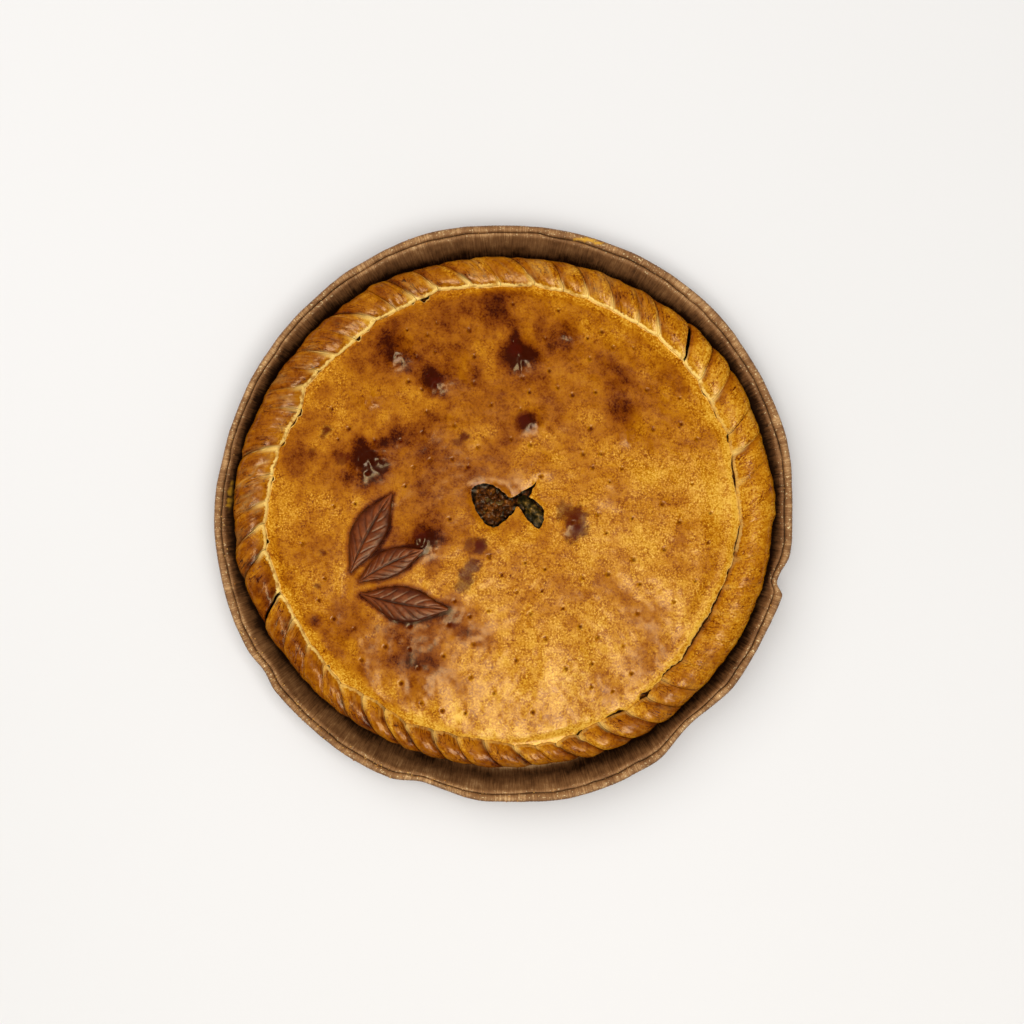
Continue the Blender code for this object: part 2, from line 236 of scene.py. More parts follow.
def fan_faces(pole, ring, outwards):
    """Triangles from one point to each side of a ring."""
    after = np.roll(ring, -1)
    corners = (ring, after) if outwards else (after, ring)
    return np.stack([np.full(len(ring), pole), *corners], axis=-1).tolist()


def closed_faces(rings, columns):
    """Faces of a closed pile of rings, whose two poles come after the rings' own points."""
    pole = rings * columns
    faces = ring_faces(rings, columns)
    faces += fan_faces(pole, np.arange(columns), True)
    return faces + fan_faces(pole + 1, np.arange(pole - columns, pole), False)


def ring_solid(name, rings):
    """A closed piece from an array of rings (rings, columns, 3), with a pole at each end."""
    poles = np.stack([rings[0].mean(axis=0), rings[-1].mean(axis=0)])
    points = np.concatenate([rings.reshape(-1, 3), poles])
    return make_mesh(name, points, closed_faces(*rings.shape[:2]))


def grid_faces(count):
    """Quads of a square grid of points, count by count."""
    index = np.arange(count * count).reshape(count, count)
    corners = (index[:-1, :-1], index[1:, :-1], index[1:, 1:], index[:-1, 1:])
    return np.stack(corners, axis=-1).reshape(-1, 4).tolist()


print("five rings of eight points close with", len(closed_faces(5, 8)), "faces")

# %% [markdown]
# ## Numbers stored on points
#
# A material can read numbers that are stored on a piece's points, and a UV map that says how far along the
# piece each point lies. Both are written as whole arrays. A short report says how large each piece came out,
# and the last helper says which solids the piece stands in for.

# %% Stored numbers and UV map
def places(piece):
    """The piece's points in millimetres, in the pie's own frame."""
    flat = np.empty(len(piece.data.vertices) * 3, np.float32)
    piece.data.vertices.foreach_get("co", flat)
    return flat.reshape(-1, 3).astype(float) / MM + MIDDLE


def paint(piece, name, values):
    """Stores one number for each point, which the piece's material can read by its name."""
    attribute = piece.data.attributes.new(name, "FLOAT", "POINT")
    attribute.data.foreach_set("value", np.asarray(values, np.float32))


def lay_uv(piece, rings, columns, width, height):
    """A UV map in metres: u runs round the ring and v along the profile. Both poles take v's last value."""
    corners = np.empty(len(piece.data.loops), np.int32)
    piece.data.loops.foreach_get("vertex_index", corners)
    ring, column = np.divmod(corners, columns)
    u = column * width / columns
    v = np.asarray(height)[np.minimum(ring, rings - 1)]
    counts = np.empty(len(piece.data.polygons), np.int32)
    piece.data.polygons.foreach_get("loop_total", counts)
    face = np.repeat(np.arange(len(counts)), counts)
    wraps = np.zeros(len(counts), bool)
    np.logical_or.at(wraps, face, column == columns - 1)
    u = np.where(wraps[face] & (column == 0), width, u)
    layer = piece.data.uv_layers.new(name="along")
    layer.data.foreach_set("uv", np.stack([u, v], axis=-1).ravel().astype(np.float32))


def report(piece):
    """Prints how many triangles a piece has and its extent."""
    piece.data.calc_loop_triangles()
    points = places(piece)
    size = points.max(axis=0) - points.min(axis=0)
    print(f"{piece.name}: {len(piece.data.loop_triangles)} triangles, {size.round(1)} mm")


def settle(piece, slot, *nodes):
    """Says that a piece rides on the body and what it replaces; the slot, its finish, is not used."""
    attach(piece, "root")
    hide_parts(*nodes)
    report(piece)


# %% [markdown]
# ## Places on the lid
#
# The photograph looks straight down, so a place in it is a place on the pie. Its scale is 0.588 mm a pixel,
# and the middle of the case is at pixel 503, 513.5. Folds, brown patches and scorched spots are listed in
# pixels, with their size in millimetres. Blisters and swells are in millimetres, as the solid has them too.

# %% Places read from the photograph
PIXEL = 0.5882
CASE_PIXEL = (503.0, 513.5)


def at_pixel(px, py):
    """A pixel of the photograph as millimetres from the middle of the pie."""
    return (px - CASE_PIXEL[0]) * PIXEL, (CASE_PIXEL[1] - py) * PIXEL


# Blisters and broad swells: place in millimetres, radius and height, as in the solid
BLISTERS = (
    (9.4, 92.6, 10, 3.0),
    (-40.9, 77.9, 8, 2.0),
    (15.3, 53.8, 8, 2.2),
    (-80.0, 32.1, 12, 2.8),
    (-47.6, -16.2, 9, 2.4),
    (37.0, 105.3, 6, 1.4),
    (-61.8, 93.8, 9, 1.8),
    (-77.6, 67.3, 7, 1.4),
    (40.4, -5.6, 6, 1.3),
    (72.3, 45.8, 8, 1.4),
)
SWELLS = (
    (27, -84, 27, 1.6),
    (-34, 48, 24, 1.3),
    (102, -42, 24, 1.6),
    (2.4, 4, 20, -1.6),
    (70, 20, 28, 0.9),
    (-60, -86, 24, 0.8),
)
# Small swells that the solid leaves out: pixel, radius and height in millimetres
LIFTS = (
    (355, 386, 10, 1.5),
    (396, 348, 9, 1.6),
    (450, 378, 14, 2.2),
    (430, 428, 12, 1.8),
    (604, 346, 6, 0.9),
    (646, 366, 9, 1.1),
    (626, 421, 9, 1.1),
    (585, 512, 7, 0.7),
    (545, 470, 10, 0.6),
    (366, 630, 12, 0.8),
    (425, 678, 12, 0.8),
    (560, 560, 16, 0.6),
    (690, 540, 15, 0.6),
)
# Folds raised by the steam: two ends in pixels, half width and height in millimetres
FOLDS = (
    ((700, 480), (712, 560), 8.0, 0.5),
    ((548, 600), (562, 735), 20.0, 1.7),
    ((352, 640), (372, 690), 9.0, 0.7),
)
print(len(BLISTERS), "blisters,", len(SWELLS) + len(LIFTS), "swells,", len(FOLDS), "folds")

# %% [markdown]
# Where the lid stands closest to the heat it is browner, and where juice has boiled through it is scorched
# to a dark red. Both kinds of place are read one by one, because noise would put them somewhere else.

# %% Brown patches and scorched spots
# Brown patches with soft edges: pixel, radius in millimetres, strength, which is below 0 where it is paler
PATCHES = (
    (440, 480, 45, 0.19),
    (410, 655, 42, 0.22),
    (485, 690, 16, 0.06),
    (540, 728, 26, 0.06),
    (707, 477, 26, -0.12),
    (455, 704, 4, -0.22),
    (458, 717, 4, -0.2),
    (316, 621, 5, 0.3),
    (640, 520, 52, -0.07),
    # These two paler patches lie where a lamp's highlight falls: partly paler dough, partly painted
    # highlight
    (558, 655, 22, -0.10),
    (562, 700, 20, -0.08),
    (496, 311, 13, 0.30),
    (388, 348, 12, 0.30),
    (433, 381, 10, 0.34),
    (519, 356, 11, 0.42),
    (565, 338, 10, 0.24),
    (620, 375, 12, 0.20),
    (620, 410, 11, 0.22),
    (527, 424, 9, 0.40),
    (362, 458, 14, 0.40),
    (372, 480, 10, 0.35),
    (300, 458, 11, 0.30),
    (404, 436, 10, 0.18),
    (424, 542, 11, 0.34),
    (478, 630, 10, 0.16),
    (455, 612, 10, 0.20),
    (690, 445, 14, 0.08),
    (650, 640, 24, 0.08),
    (590, 660, 18, 0.12),
    (640, 600, 22, 0.07),
    (410, 660, 16, 0.16),
    (345, 620, 16, 0.10),
    (700, 560, 18, 0.07),
    (450, 330, 26, 0.14),
    (560, 370, 26, 0.10),
)
# Scorched spots, small and dark red: pixel, radius in millimetres, strength
SCORCHES = (
    (566, 511, 6.5, 0.7),
    (574, 517, 7.5, 0.95),
    (578, 529, 6.5, 1.0),
    (573, 533, 6.0, 0.8),
    (464, 437, 3.6, 0.9),
    (457, 443, 3.0, 0.6),
    (481, 546, 5.4, 1.0),
    (470, 543, 4.6, 0.7),
    (473, 566, 5.6, 0.9),
    (467, 576, 5.8, 0.9),
    (463, 586, 4.8, 0.75),
    (451, 623, 3.0, 0.8),
    (327, 430, 3.2, 0.9),
    (323, 436, 2.2, 0.6),
    (343, 459, 4.0, 0.7),
    (325, 553, 2.2, 0.8),
    (318, 586, 2.2, 0.7),
    (312, 452, 2.6, 0.6),
    (377, 628, 2.2, 0.5),
    (436, 384, 4.0, 0.6),
    (522, 420, 5.0, 0.6),
    (515, 350, 5.0, 0.6),
    (419, 534, 5.0, 0.5),
)
print(len(PATCHES), "patches,", len(SCORCHES), "scorched spots")

# %% [markdown]
# ## Strands of the rope
#
# The edge of the pie is closed by folding it over itself, strand after strand. No two strands are alike, so
# each groove between them was read from the photograph, and at two places the dough has split open. A
# strand's inner end bulges over the lid, so the seam is a row of scallops with a cusp at each groove. Round
# the lower right the lid's edge stands clear of the rope, and elsewhere small holes open along the seam.

# %% Strands
# Each groove: degrees at the seam and at the rope's edge, depth and seam radius in millimetres, creaminess
GROOVES = np.array([
    (7.2, 12.8, 0.9, 137.8, 0.4), (14.6, 17.6, 1.5, 139.5, 0.8), (19.5, 24.5, 1.0, 140.4, 0.4),
    (28.3, 32.5, 1.6, 138.2, 0.7), (34.4, 38.8, 1.8, 139.3, 0.7), (40.3, 46.3, 7.5, 139.4, 0.8),
    (49.0, 55.8, 1.6, 138.3, 1.0), (54.8, 60.8, 1.2, 136.8, 0.6), (61.8, 67.8, 1.3, 135.8, 0.7),
    (68.7, 73.8, 1.5, 136.2, 0.8), (75.0, 79.8, 1.4, 135.9, 0.7), (82.3, 88.8, 1.5, 135.7, 0.8),
    (90.8, 96.0, 1.0, 134.0, 0.4), (98.0, 105.0, 1.7, 134.8, 1.0), (106.3, 110.8, 1.6, 137.2, 1.0),
    (112.3, 117.3, 1.5, 135.6, 0.8), (117.8, 122.3, 1.2, 134.6, 0.4), (123.4, 131.5, 2.0, 136.4, 1.0),
    (130.5, 137.0, 0.7, 134.0, 0.3), (137.0, 142.8, 1.3, 135.6, 0.8), (142.5, 148.0, 0.8, 137.0, 0.5),
    (147.6, 153.3, 1.3, 138.2, 0.8), (153.0, 158.3, 0.8, 134.2, 0.5), (158.5, 163.2, 0.6, 135.2, 0.3),
    (163.8, 168.3, 1.7, 137.6, 1.0), (170.5, 175.0, 0.7, 137.5, 0.5), (177.3, 182.0, 1.3, 138.4, 0.8),
    (182.6, 187.8, 1.4, 140.6, 0.9), (188.8, 194.8, 1.9, 141.0, 0.9), (199.7, 205.3, 7.5, 138.8, 0.8),
    (206.8, 213.5, 1.3, 136.8, 0.5), (214.0, 220.4, 1.1, 137.2, 0.4), (220.4, 227.0, 1.2, 137.4, 0.4),
    (226.4, 233.7, 1.6, 138.0, 0.5), (232.6, 241.6, 2.4, 134.8, 0.6), (239.0, 247.0, 2.2, 134.2, 0.4),
    (245.4, 251.6, 2.6, 136.8, 0.5), (252.4, 257.6, 2.8, 134.0, 0.5), (258.5, 264.0, 1.6, 133.9, 0.3),
    (265.4, 270.5, 1.8, 134.2, 0.4), (272.8, 277.4, 2.3, 137.0, 0.6), (278.0, 282.6, 1.2, 137.6, 0.3),
    (283.0, 287.8, 2.3, 138.4, 0.4), (288.8, 293.8, 2.2, 137.8, 0.5), (294.8, 300.6, 2.2, 135.0, 0.6),
    (302.2, 307.2, 1.7, 137.2, 0.4), (308.3, 313.0, 1.5, 137.4, 0.4), (313.8, 318.8, 1.2, 135.0, 0.3),
    (320.5, 325.5, 0.6, 136.0, 0.15), (328.0, 332.2, 0.5, 134.9, 0.1), (335.0, 338.8, 0.6, 136.2, 0.15),
    (341.6, 345.2, 0.7, 137.0, 0.2), (348.6, 352.4, 0.8, 138.4, 0.2), (357.0, 361.5, 0.5, 139.8, 0.1),
])
DEEPEST_GROOVE = 2.4
SLIT_DEPTH = 5.0
groove = np.radians(GROOVES[:, 0])
groove_lean = np.radians(GROOVES[:, 1] - GROOVES[:, 0])
groove_depth = np.minimum(GROOVES[:, 2], DEEPEST_GROOVE)
groove_seam = GROOVES[:, 3]
groove_cream = GROOVES[:, 4]
is_slit = GROOVES[:, 2] > SLIT_DEPTH
strands = len(groove)
widths = np.diff(np.append(groove, groove[0] + TURN))
narrowest, widest = np.degrees([widths.min(), widths.max()]).round(1)
print(strands, "strands, from", narrowest, "to", widest, "degrees wide")

# %% [markdown]
# The seam is not the same all round. How far the lid stands clear of the rope, and how bright the stretched
# dough is, are read at some angles and run evenly from one to the next. The holes are single places.

# %% Seam
# Strands that stand out beyond the rope's outline: angle and half width in degrees, and millimetres
EDGE_BULGES = ((3, 5, 1.5), (36, 6, 1.2), (45, 4, 1.5), (118, 8, 1.0), (192, 9, 1.7), (205, 4, 1.0))

# How far the lid's edge stands clear of the rope, by angle
TUCK_ANGLES = (0, 13, 28, 296, 314, 324, 350, 360)
TUCKS = (0.4, 0.4, 0, 0, 0.35, 1, 0.85, 0.4)
# How bright the stretched dough along the seam is, by angle
BANK_ANGLES = (0, 12, 26, 30, 40, 90, 125, 150, 170, 182, 200, 215, 230, 240, 285, 320, 345, 352, 360)
BANKS = (0.35, 0.3, 0.35, 0.8, 1, 1, 1, 0.8, 1, 0.7, 0.9, 0.7, 0.4, 0.2, 0.2, 0.05, 0.05, 0.35, 0.35)
# Holes along the seam: angle and half length in degrees, width in millimetres
SEAM_HOLES = (
    (9.5, 4.0, 0.8), (18.5, 1.2, 1.0), (25, 2.0, 0.8), (31.5, 1.6, 0.6), (109.9, 1.3, 2.4),
    (113.2, 0.5, 1.0), (125.8, 1.0, 0.9), (129.6, 0.7, 1.1), (142.2, 1.2, 0.7), (153.6, 1.4, 1.4),
    (156.5, 1.5, 0.7), (162.4, 0.8, 1.0), (171.3, 0.7, 1.0), (186.8, 0.5, 0.9), (221.2, 0.5, 0.8),
    (289.2, 1.0, 1.2), (299.5, 2.8, 1.3), (308.2, 1.8, 2.2), (316.5, 3.0, 1.2),
)


def tuck(angle):
    """1 at the lower right, where the lid's edge stands clear of the rope, and 0 where it is tucked in."""
    return np.interp(np.degrees(angle) % 360, TUCK_ANGLES, TUCKS)


def bank(angle):
    """How bright the stretched dough along the seam is."""
    return np.interp(np.degrees(angle) % 360, BANK_ANGLES, BANKS)


def strand_at(angle):
    """The strand that starts at the seam at each angle, and the share of the way across it."""
    turned = (angle - groove[0]) % TURN + groove[0]
    strand = np.clip(np.searchsorted(groove, turned, side="right") - 1, 0, strands - 1)
    return strand, (turned - groove[strand]) / widths[strand]


def across_strand(values, strand, share):
    """A number given for each groove, carried evenly from a strand's first groove to its second."""
    return values[strand] + share * (np.roll(values, -1)[strand] - values[strand])


def nearest_groove(strand, share):
    """The groove nearest to a place on a strand, and the angle between them."""
    number = np.where(share < 0.5, strand, (strand + 1) % strands)
    return number, np.minimum(share, 1 - share) * widths[strand]


def seam_wave(angle):
    """How far the seam lies outside its smooth outline: cusps at the grooves, scallops in between."""
    strand, share = strand_at(angle)
    share = np.clip(share, 0, 1)
    depth = 0.3 + 0.5 * across_strand(groove_depth, strand, share)
    scallop = depth * np.sin(np.pi * share) ** 0.6
    wander = 0.3 * ring_hills(angle, 0.5, 2, 1, 11) + 0.25 * ring_hills(angle, 0.5, 6, 1, 12)
    return across_strand(groove_seam, strand, share) - scallop + wander - seam_edge(angle)


def seam_gap(angle):
    """Gap between the lid's edge and the rope, in millimetres, below 0 where they have grown together."""
    ragged = 1 + 0.6 * ring_hills(angle, 0.5, 3, 1, 83) + 0.5 * ring_hills(angle, 0.5, 8, 1, 84)
    gap = -0.4 + 1.15 * tuck(angle) * ragged
    for at, half, width in SEAM_HOLES:
        share = np.abs(turn_between(angle, at)) / half
        gap = np.maximum(gap, width * ragged * (1 - ramp(share, 0.4, 1.3)) - 0.2)
    return gap


print("seam:", len(SEAM_HOLES), "holes, and a gap of up to", seam_gap(around).max().round(1), "mm")

# %% [markdown]
# ## Fork holes
#
# Before baking, the lid is pricked all over so that steam can leave. The holes are 2 to 3 mm wide and lie
# 8 to 20 mm apart, more of them above the middle. They are drawn at random, and one that comes too near
# another, the vent or the leaves is thrown away.

# %% Fork holes
VENT_PLACE = (2.4, 5.0)
VENT_CLEARANCE = 25
SPRIG_PLACE = (-66.0, -25.0)
SPRIG_CLEARANCE = 36
HOLES_WANTED = 118
HOLES_WITHIN = 124


def scatter_holes():
    """Random places on the lid that keep their distance: 8.5 mm above the middle, 11.5 mm below."""
    draw = np.random.default_rng(21)
    kept = []
    while len(kept) < HOLES_WANTED:
        x, y = draw.uniform(-HOLES_WITHIN, HOLES_WITHIN, 2)
        apart = 8.5 if y > 0 else 11.5
        fits = math.hypot(x, y) < HOLES_WITHIN
        fits = fits and math.dist((x, y), VENT_PLACE) > VENT_CLEARANCE
        fits = fits and math.dist((x, y), SPRIG_PLACE) > SPRIG_CLEARANCE
        if fits and all(math.dist((x, y), p) > apart for p in kept):
            kept.append((x, y))
    return np.array(kept)


HOLES = scatter_holes()
HOLE_SIZES = np.random.default_rng(22).uniform(0.8, 1.4, len(HOLES))
print(len(HOLES), "fork holes")

# %% [markdown]
# ## The shape of the lid
#
# The lid is a low dome that rolls down at its edge. Steam has lifted it into broad swells and tight,
# wrinkled blisters. Its height is a sum: the dome, a bump for each blister and swell, hills of three sizes,
# a few long folds and creases on the blisters, less a small cone for each fork hole and a soft slump towards
# the vent.

# %% Lid heights
DOME_POWER = 2.6
EDGE_SHARE = 0.95
EDGE_ROLL = 1.2
# Hills: height and size in millimetres, and seed
LID_HILLS = ((0.45, 23, 1), (0.3, 9, 2), (0.13, 3.4, 3))
# Blisters that stand higher than this are wrinkled all over, by this share of up to 2.2 mm of their height
WRINKLED_RISE = 1.3
CREASE_SHARE = 0.48
SMALL_CREASE = 0.2
HOLE_DEPTH = 1.3
HOLE_LIP = 0.05
# The slump at the vent's edge, as two parts: depth, and how far it reaches
VENT_SLUMPS = ((1.1, 1.6), (0.5, 6))
# The gap at the lower right lets the lid's edge stand up by this much
TUCK_RISE = 0.9
VENT_RAGGED = 0.5
VENT_OUTLINE = np.array([
    (-19.5, 10.8), (-13.4, 12.4), (-7.0, 10.8), (-1.9, 7.0), (1.9, 4.4), (8.9, 8.2),
    (14.1, 10.9), (17.2, 13.6), (15.2, 8.8), (13.1, 5.1), (16.9, 2.5), (21.4, -3.2),
    (21.4, -9.6), (19.1, -13.8), (14.7, -11.5), (10.2, -5.8), (7.0, -1.3), (5.1, -1.3),
    (3.2, -5.2), (-1.9, -9.3), (-6.4, -12.8), (-12.1, -11.5), (-16.6, -5.8), (-19.8, 1.2),
    (-21.1, 6.4),
])


def closed_curve(corners, steps):
    """A smooth closed curve through corners: each stretch is a Catmull-Rom cubic of four corners."""
    t = np.linspace(0, 1, steps, endpoint=False)[:, None]
    a, b, c, d = (np.roll(corners, shift, axis=0)[:, None, :] for shift in (1, 0, -1, -2))
    curve = b + 0.5 * t * (c - a + t * (2 * a - 5 * b + 4 * c - d + t * (3 * (b - c) + d - a)))
    return curve.reshape(-1, 2)


def edge_distance(x, y, outline):
    """Distance from each point to the nearest side of an outline."""
    best = np.full(np.shape(x), np.inf)
    for (ax, ay), (bx, by) in zip(outline, np.roll(outline, -1, axis=0)):
        dx, dy = bx - ax, by - ay
        t = np.clip(((x - ax) * dx + (y - ay) * dy) / (dx * dx + dy * dy), 0, 1)
        best = np.minimum(best, np.hypot(x - ax - t * dx, y - ay - t * dy))
    return best


vent_curve = closed_curve(VENT_OUTLINE[::-1], 8) + VENT_PLACE
vent_curve = vent_curve + VENT_RAGGED * np.stack(
    [hills(*vent_curve.T, 2.0, 31), hills(*vent_curve.T, 2.0, 32)], axis=-1
)


def lid_share(x, y):
    """0 in the middle of the lid and 1 at the seam."""
    return np.hypot(x, y) / seam_edge(np.arctan2(y, x))


def smooth_lid(x, y):
    """Height of the lid without its fine relief, as in the solid."""
    share = np.minimum(lid_share(x, y), 1)
    height = LID_EDGE + (LID_CENTRE - LID_EDGE) * (1 - share**DOME_POWER)
    height = height - EDGE_ROLL * np.clip((share - EDGE_SHARE) / 0.05, 0, None) ** 2
    calm = np.clip((1 - share) / 0.1, 0, 1)
    for bx, by, radius, rise in BLISTERS + SWELLS:
        height = height + calm * rise * bump(np.hypot(x - bx, y - by), radius)
    return height


def fold(x, y, start, end, half_width, rise):
    """A rounded ridge along a line between two pixels, that fades beyond its ends."""
    (ax, ay), (bx, by) = at_pixel(*start), at_pixel(*end)
    length = math.hypot(bx - ax, by - ay)
    ux, uy = (bx - ax) / length, (by - ay) / length
    along = (x - ax) * ux + (y - ay) * uy
    beyond = np.maximum(np.maximum(-along, along - length), 0)
    across = (y - ay) * ux - (x - ax) * uy + 1.5 * hills(x, y, 9, 14)
    return rise * bump(np.hypot(across, 0.8 * beyond), half_width)


def lid_height(x, y):
    """The smooth lid with hills, creased blisters, fork holes and the slump at the vent."""
    height = smooth_lid(x, y)
    calm = np.clip((1 - lid_share(x, y)) / 0.04, 0, 1)
    relief = sum(rise * hills(x, y, size, seed) for rise, size, seed in LID_HILLS)
    for lx, ly, radius, rise in LIFTS:
        cx, cy = at_pixel(lx, ly)
        relief = relief + rise * bump(np.hypot(x - cx, y - cy), radius)
    for facts in FOLDS:
        relief = relief + fold(x, y, *facts)
    height = height + relief * (0.25 + 0.75 * calm)
    for n, (bx, by, radius, rise) in enumerate(BLISTERS):
        near = bump(np.hypot(x - bx, y - by), radius)
        creases = ridges(x, y, 4.4, 40 + n) + 0.5 * ridges(x, y, 2.4, 60 + n)
        deep = CREASE_SHARE * min(rise, 2.2) if rise > WRINKLED_RISE else SMALL_CREASE
        height = height + deep * near * (creases - 0.5)
    for (hx, hy), size in zip(HOLES, HOLE_SIZES):
        distance = np.hypot(x - hx, y - hy) / size
        height = height - HOLE_DEPTH * (1 - ramp(distance, -0.2, 1.2)) + HOLE_LIP * bump(distance - 1.7, 0.8)
    torn = edge_distance(x, y, vent_curve[::2])
    for deep, far in VENT_SLUMPS:
        height = height - deep * np.exp(-torn / far)
    return height + TUCK_RISE * tuck(np.arctan2(y, x)) * ramp(lid_share(x, y), 0.93, 0.975)


print("vent:", np.ptp(vent_curve, axis=0).round(1), "mm")

# %% [markdown]
# ## The lid's grid
#
# A disc covered by rings has crowded points in its middle and sparse ones at its edge. A square grid laid
# on the disc is more even: x = u √(1 - v²/2) and y = v √(1 - u²/2) carry the square from -1 to 1 onto
# the unit disc. The points round each fork hole are then drawn towards it, so that so small a hole still
# comes out round. The border of the square goes on as rings, over the edge and in below the lid.

# %% Lid mesh
LID_GRID = 284
LID_RIM_SHARE = 0.966
HOLE_PULL = 4.6
# Rings at the edge: share of the way out to it, and share of the way down to the underside
LID_EDGE_PROFILE = (
    (0.25, 0), (0.48, 0.01), (0.7, 0.04), (0.86, 0.1), (0.95, 0.22), (1, 0.42), (0.985, 0.7), (0.8, 1),
)
# Rings of the underside, as shares of the grid's radius
LID_UNDER_SHARES = (0.8, 0.5, 0.2)


def disc_grid(count):
    """Points of a square grid carried onto the unit disc, as two arrays."""
    u, v = np.meshgrid(np.linspace(-1, 1, count), np.linspace(-1, 1, count), indexing="ij")
    return u * np.sqrt(1 - v * v / 2), v * np.sqrt(1 - u * u / 2)


def draw_to_holes(x, y):
    """Moves points near each hole inwards: a distance d within R becomes R (d / R) to the power 1.5."""
    for hx, hy in HOLES:
        dx, dy = x - hx, y - hy
        share = np.minimum(np.hypot(dx, dy) / HOLE_PULL, 1) ** 0.5
        x, y = hx + dx * share, hy + dy * share
    return x, y


def border_of(count):
    """Indices of the grid's border, once round anticlockwise."""
    index = np.arange(count * count).reshape(count, count)
    sides = (index[:-1, 0], index[-1, :-1], index[:0:-1, -1], index[0, :0:-1])
    return np.concatenate(sides)


def lid_edge(angle):
    """Radius of the lid's own edge."""
    return seam_edge(angle) + seam_wave(angle) - seam_gap(angle)


def lid_rings(angle):
    """Rings beyond the grid: out to the rounded edge, down its side, and in below the lid."""
    edge, inner = lid_edge(angle), LID_RIM_SHARE * seam_edge(angle)
    under = LID_EDGE - LID_THICKNESS
    rounded = 0.2 + 0.8 * np.clip(seam_gap(angle) / 0.5, 0, 1)
    rings = []
    for out, down in LID_EDGE_PROFILE:
        radius = inner + out * (edge - inner)
        x, y = radius * np.cos(angle), radius * np.sin(angle)
        top = lid_height(x, y)
        down = down * rounded if down < 0.5 else down
        rings.append(np.stack([x, y, top + down * (under - top)], axis=-1))
    for share in LID_UNDER_SHARES:
        radius = share * inner
        height = np.full_like(angle, under) + (LID_CENTRE - LID_EDGE) * (1 - share**DOME_POWER)
        rings.append(np.stack([radius * np.cos(angle), radius * np.sin(angle), height], axis=-1))
    return np.stack(rings)


def make_lid():
    """The grid of the top with its border carried down and under as rings."""
    u, v = disc_grid(LID_GRID)
    angle = np.arctan2(v, u)
    radius = LID_RIM_SHARE * seam_edge(angle) * np.hypot(u, v)
    x, y = draw_to_holes(radius * np.cos(angle), radius * np.sin(angle))
    top = np.stack([x, y, lid_height(x, y)], axis=-1).reshape(-1, 3)
    border = border_of(LID_GRID)
    rings = lid_rings(np.arctan2(top[border, 1], top[border, 0]))
    count, columns = rings.shape[:2]
    middle = np.array([[0, 0, LID_CENTRE - LID_THICKNESS]])
    points = np.concatenate([top, rings.reshape(-1, 3), middle])
    faces = grid_faces(LID_GRID)
    start = len(top)
    first = start + np.arange(columns)
    side = (border, first, np.roll(first, -1), np.roll(border, -1))
    faces += np.stack(side, axis=-1).tolist()
    faces += ring_faces(count, columns, start)
    last = start + (count - 1) * columns
    faces += fan_faces(len(points) - 1, last + np.arange(columns), False)
    return make_mesh("lid_crust", points, faces)


lid = make_lid()
report(lid)

# %% [markdown]
# ## The steam vent
#
# The vent is torn right through the lid, so it is cut with a Boolean modifier: an upright prism with the
# vent's outline takes away what it holds. The solver called Manifold is quick on a mesh of this size, as
# both shapes are closed. The result is stored in the mesh, and the prism is removed.

# %% Cut the vent
def make_prism(name, outline, low, high):
    """An upright prism over an outline, with one face at each end."""
    count = len(outline)
    ends = [np.column_stack([outline, np.full(count, z)]) for z in (high, low)]
    faces = ring_faces(2, count) + [list(range(count)), list(range(2 * count - 1, count - 1, -1))]
    return make_mesh(name, np.concatenate(ends), faces)


def cut(piece, cutter):
    """Takes the cutter's volume out of a piece, keeps the result as its mesh, and removes the cutter."""
    boolean = piece.modifiers.new("cut", "BOOLEAN")
    boolean.operation = "DIFFERENCE"
    boolean.solver = "MANIFOLD"
    boolean.object = cutter
    graph = bpy.context.evaluated_depsgraph_get()
    mesh = bpy.data.meshes.new_from_object(piece.evaluated_get(graph))
    mesh.materials.clear()
    piece.modifiers.clear()
    piece.data = mesh
    bpy.data.objects.remove(cutter)


PRISM_HEIGHTS = (10, 50)
SHARP_ANGLE = 55
cut(lid, make_prism("vent_prism", vent_curve, *PRISM_HEIGHTS))
lid.data.shade_smooth()
lid.data.set_sharp_from_angle(angle=math.radians(SHARP_ANGLE))
report(lid)

# %% [markdown]
# ## Where the leaves lie
#
# Three leaves of rolled dough are fanned out from one stalk. A leaf is described by the direction of its
# midrib, its length and its width, and its half width is a sine of the length. The egg wash ran down round
# the leaves and burnt there, so the lid is darker along their outlines.

# %% Leaf outlines
LEAF_STALK = np.array([-95.0, -45.0])
LEAVES = ((62, 52, 19), (26, 42, 15), (-10, 52, 19))
LEAF_START = 12.0
LEAF_TIP = 0.8
LEAF_THICKNESS = 2.4
LEAF_SWAY = 1.6
LEAF_HALO = 1.9


def leaf_outline(along, width):
    """Half the width of a leaf, at a share of its length."""
    return LEAF_TIP + 0.5 * width * np.sin(np.pi * np.clip(along, 0, 1)) ** 1.2


def leaf_sway(along, direction):
    """How far the midrib bends aside at a share of its length, to the right in the last leaf only."""
    return LEAF_SWAY * np.sin(np.pi * np.clip(along, 0, 1)) * (1 if direction > 20 else -1)


def leaf_halo(x, y, direction, length, width):
    """1 at a leaf's outline, fading over a millimetre or two beyond it."""
    ux, uy = math.cos(math.radians(direction)), math.sin(math.radians(direction))
    dx, dy = x - LEAF_STALK[0], y - LEAF_STALK[1]
    along = (dx * ux + dy * uy - LEAF_START) / length
    beyond = np.maximum(np.maximum(-along, along - 1), 0) * length
    across = np.abs(dy * ux - dx * uy - leaf_sway(along, direction)) - leaf_outline(along, width)
    return np.exp(-((np.hypot(np.maximum(across, 0), beyond) / LEAF_HALO) ** 2))


print(len(LEAVES), "leaves, the longest", max(facts[1] for facts in LEAVES), "mm")
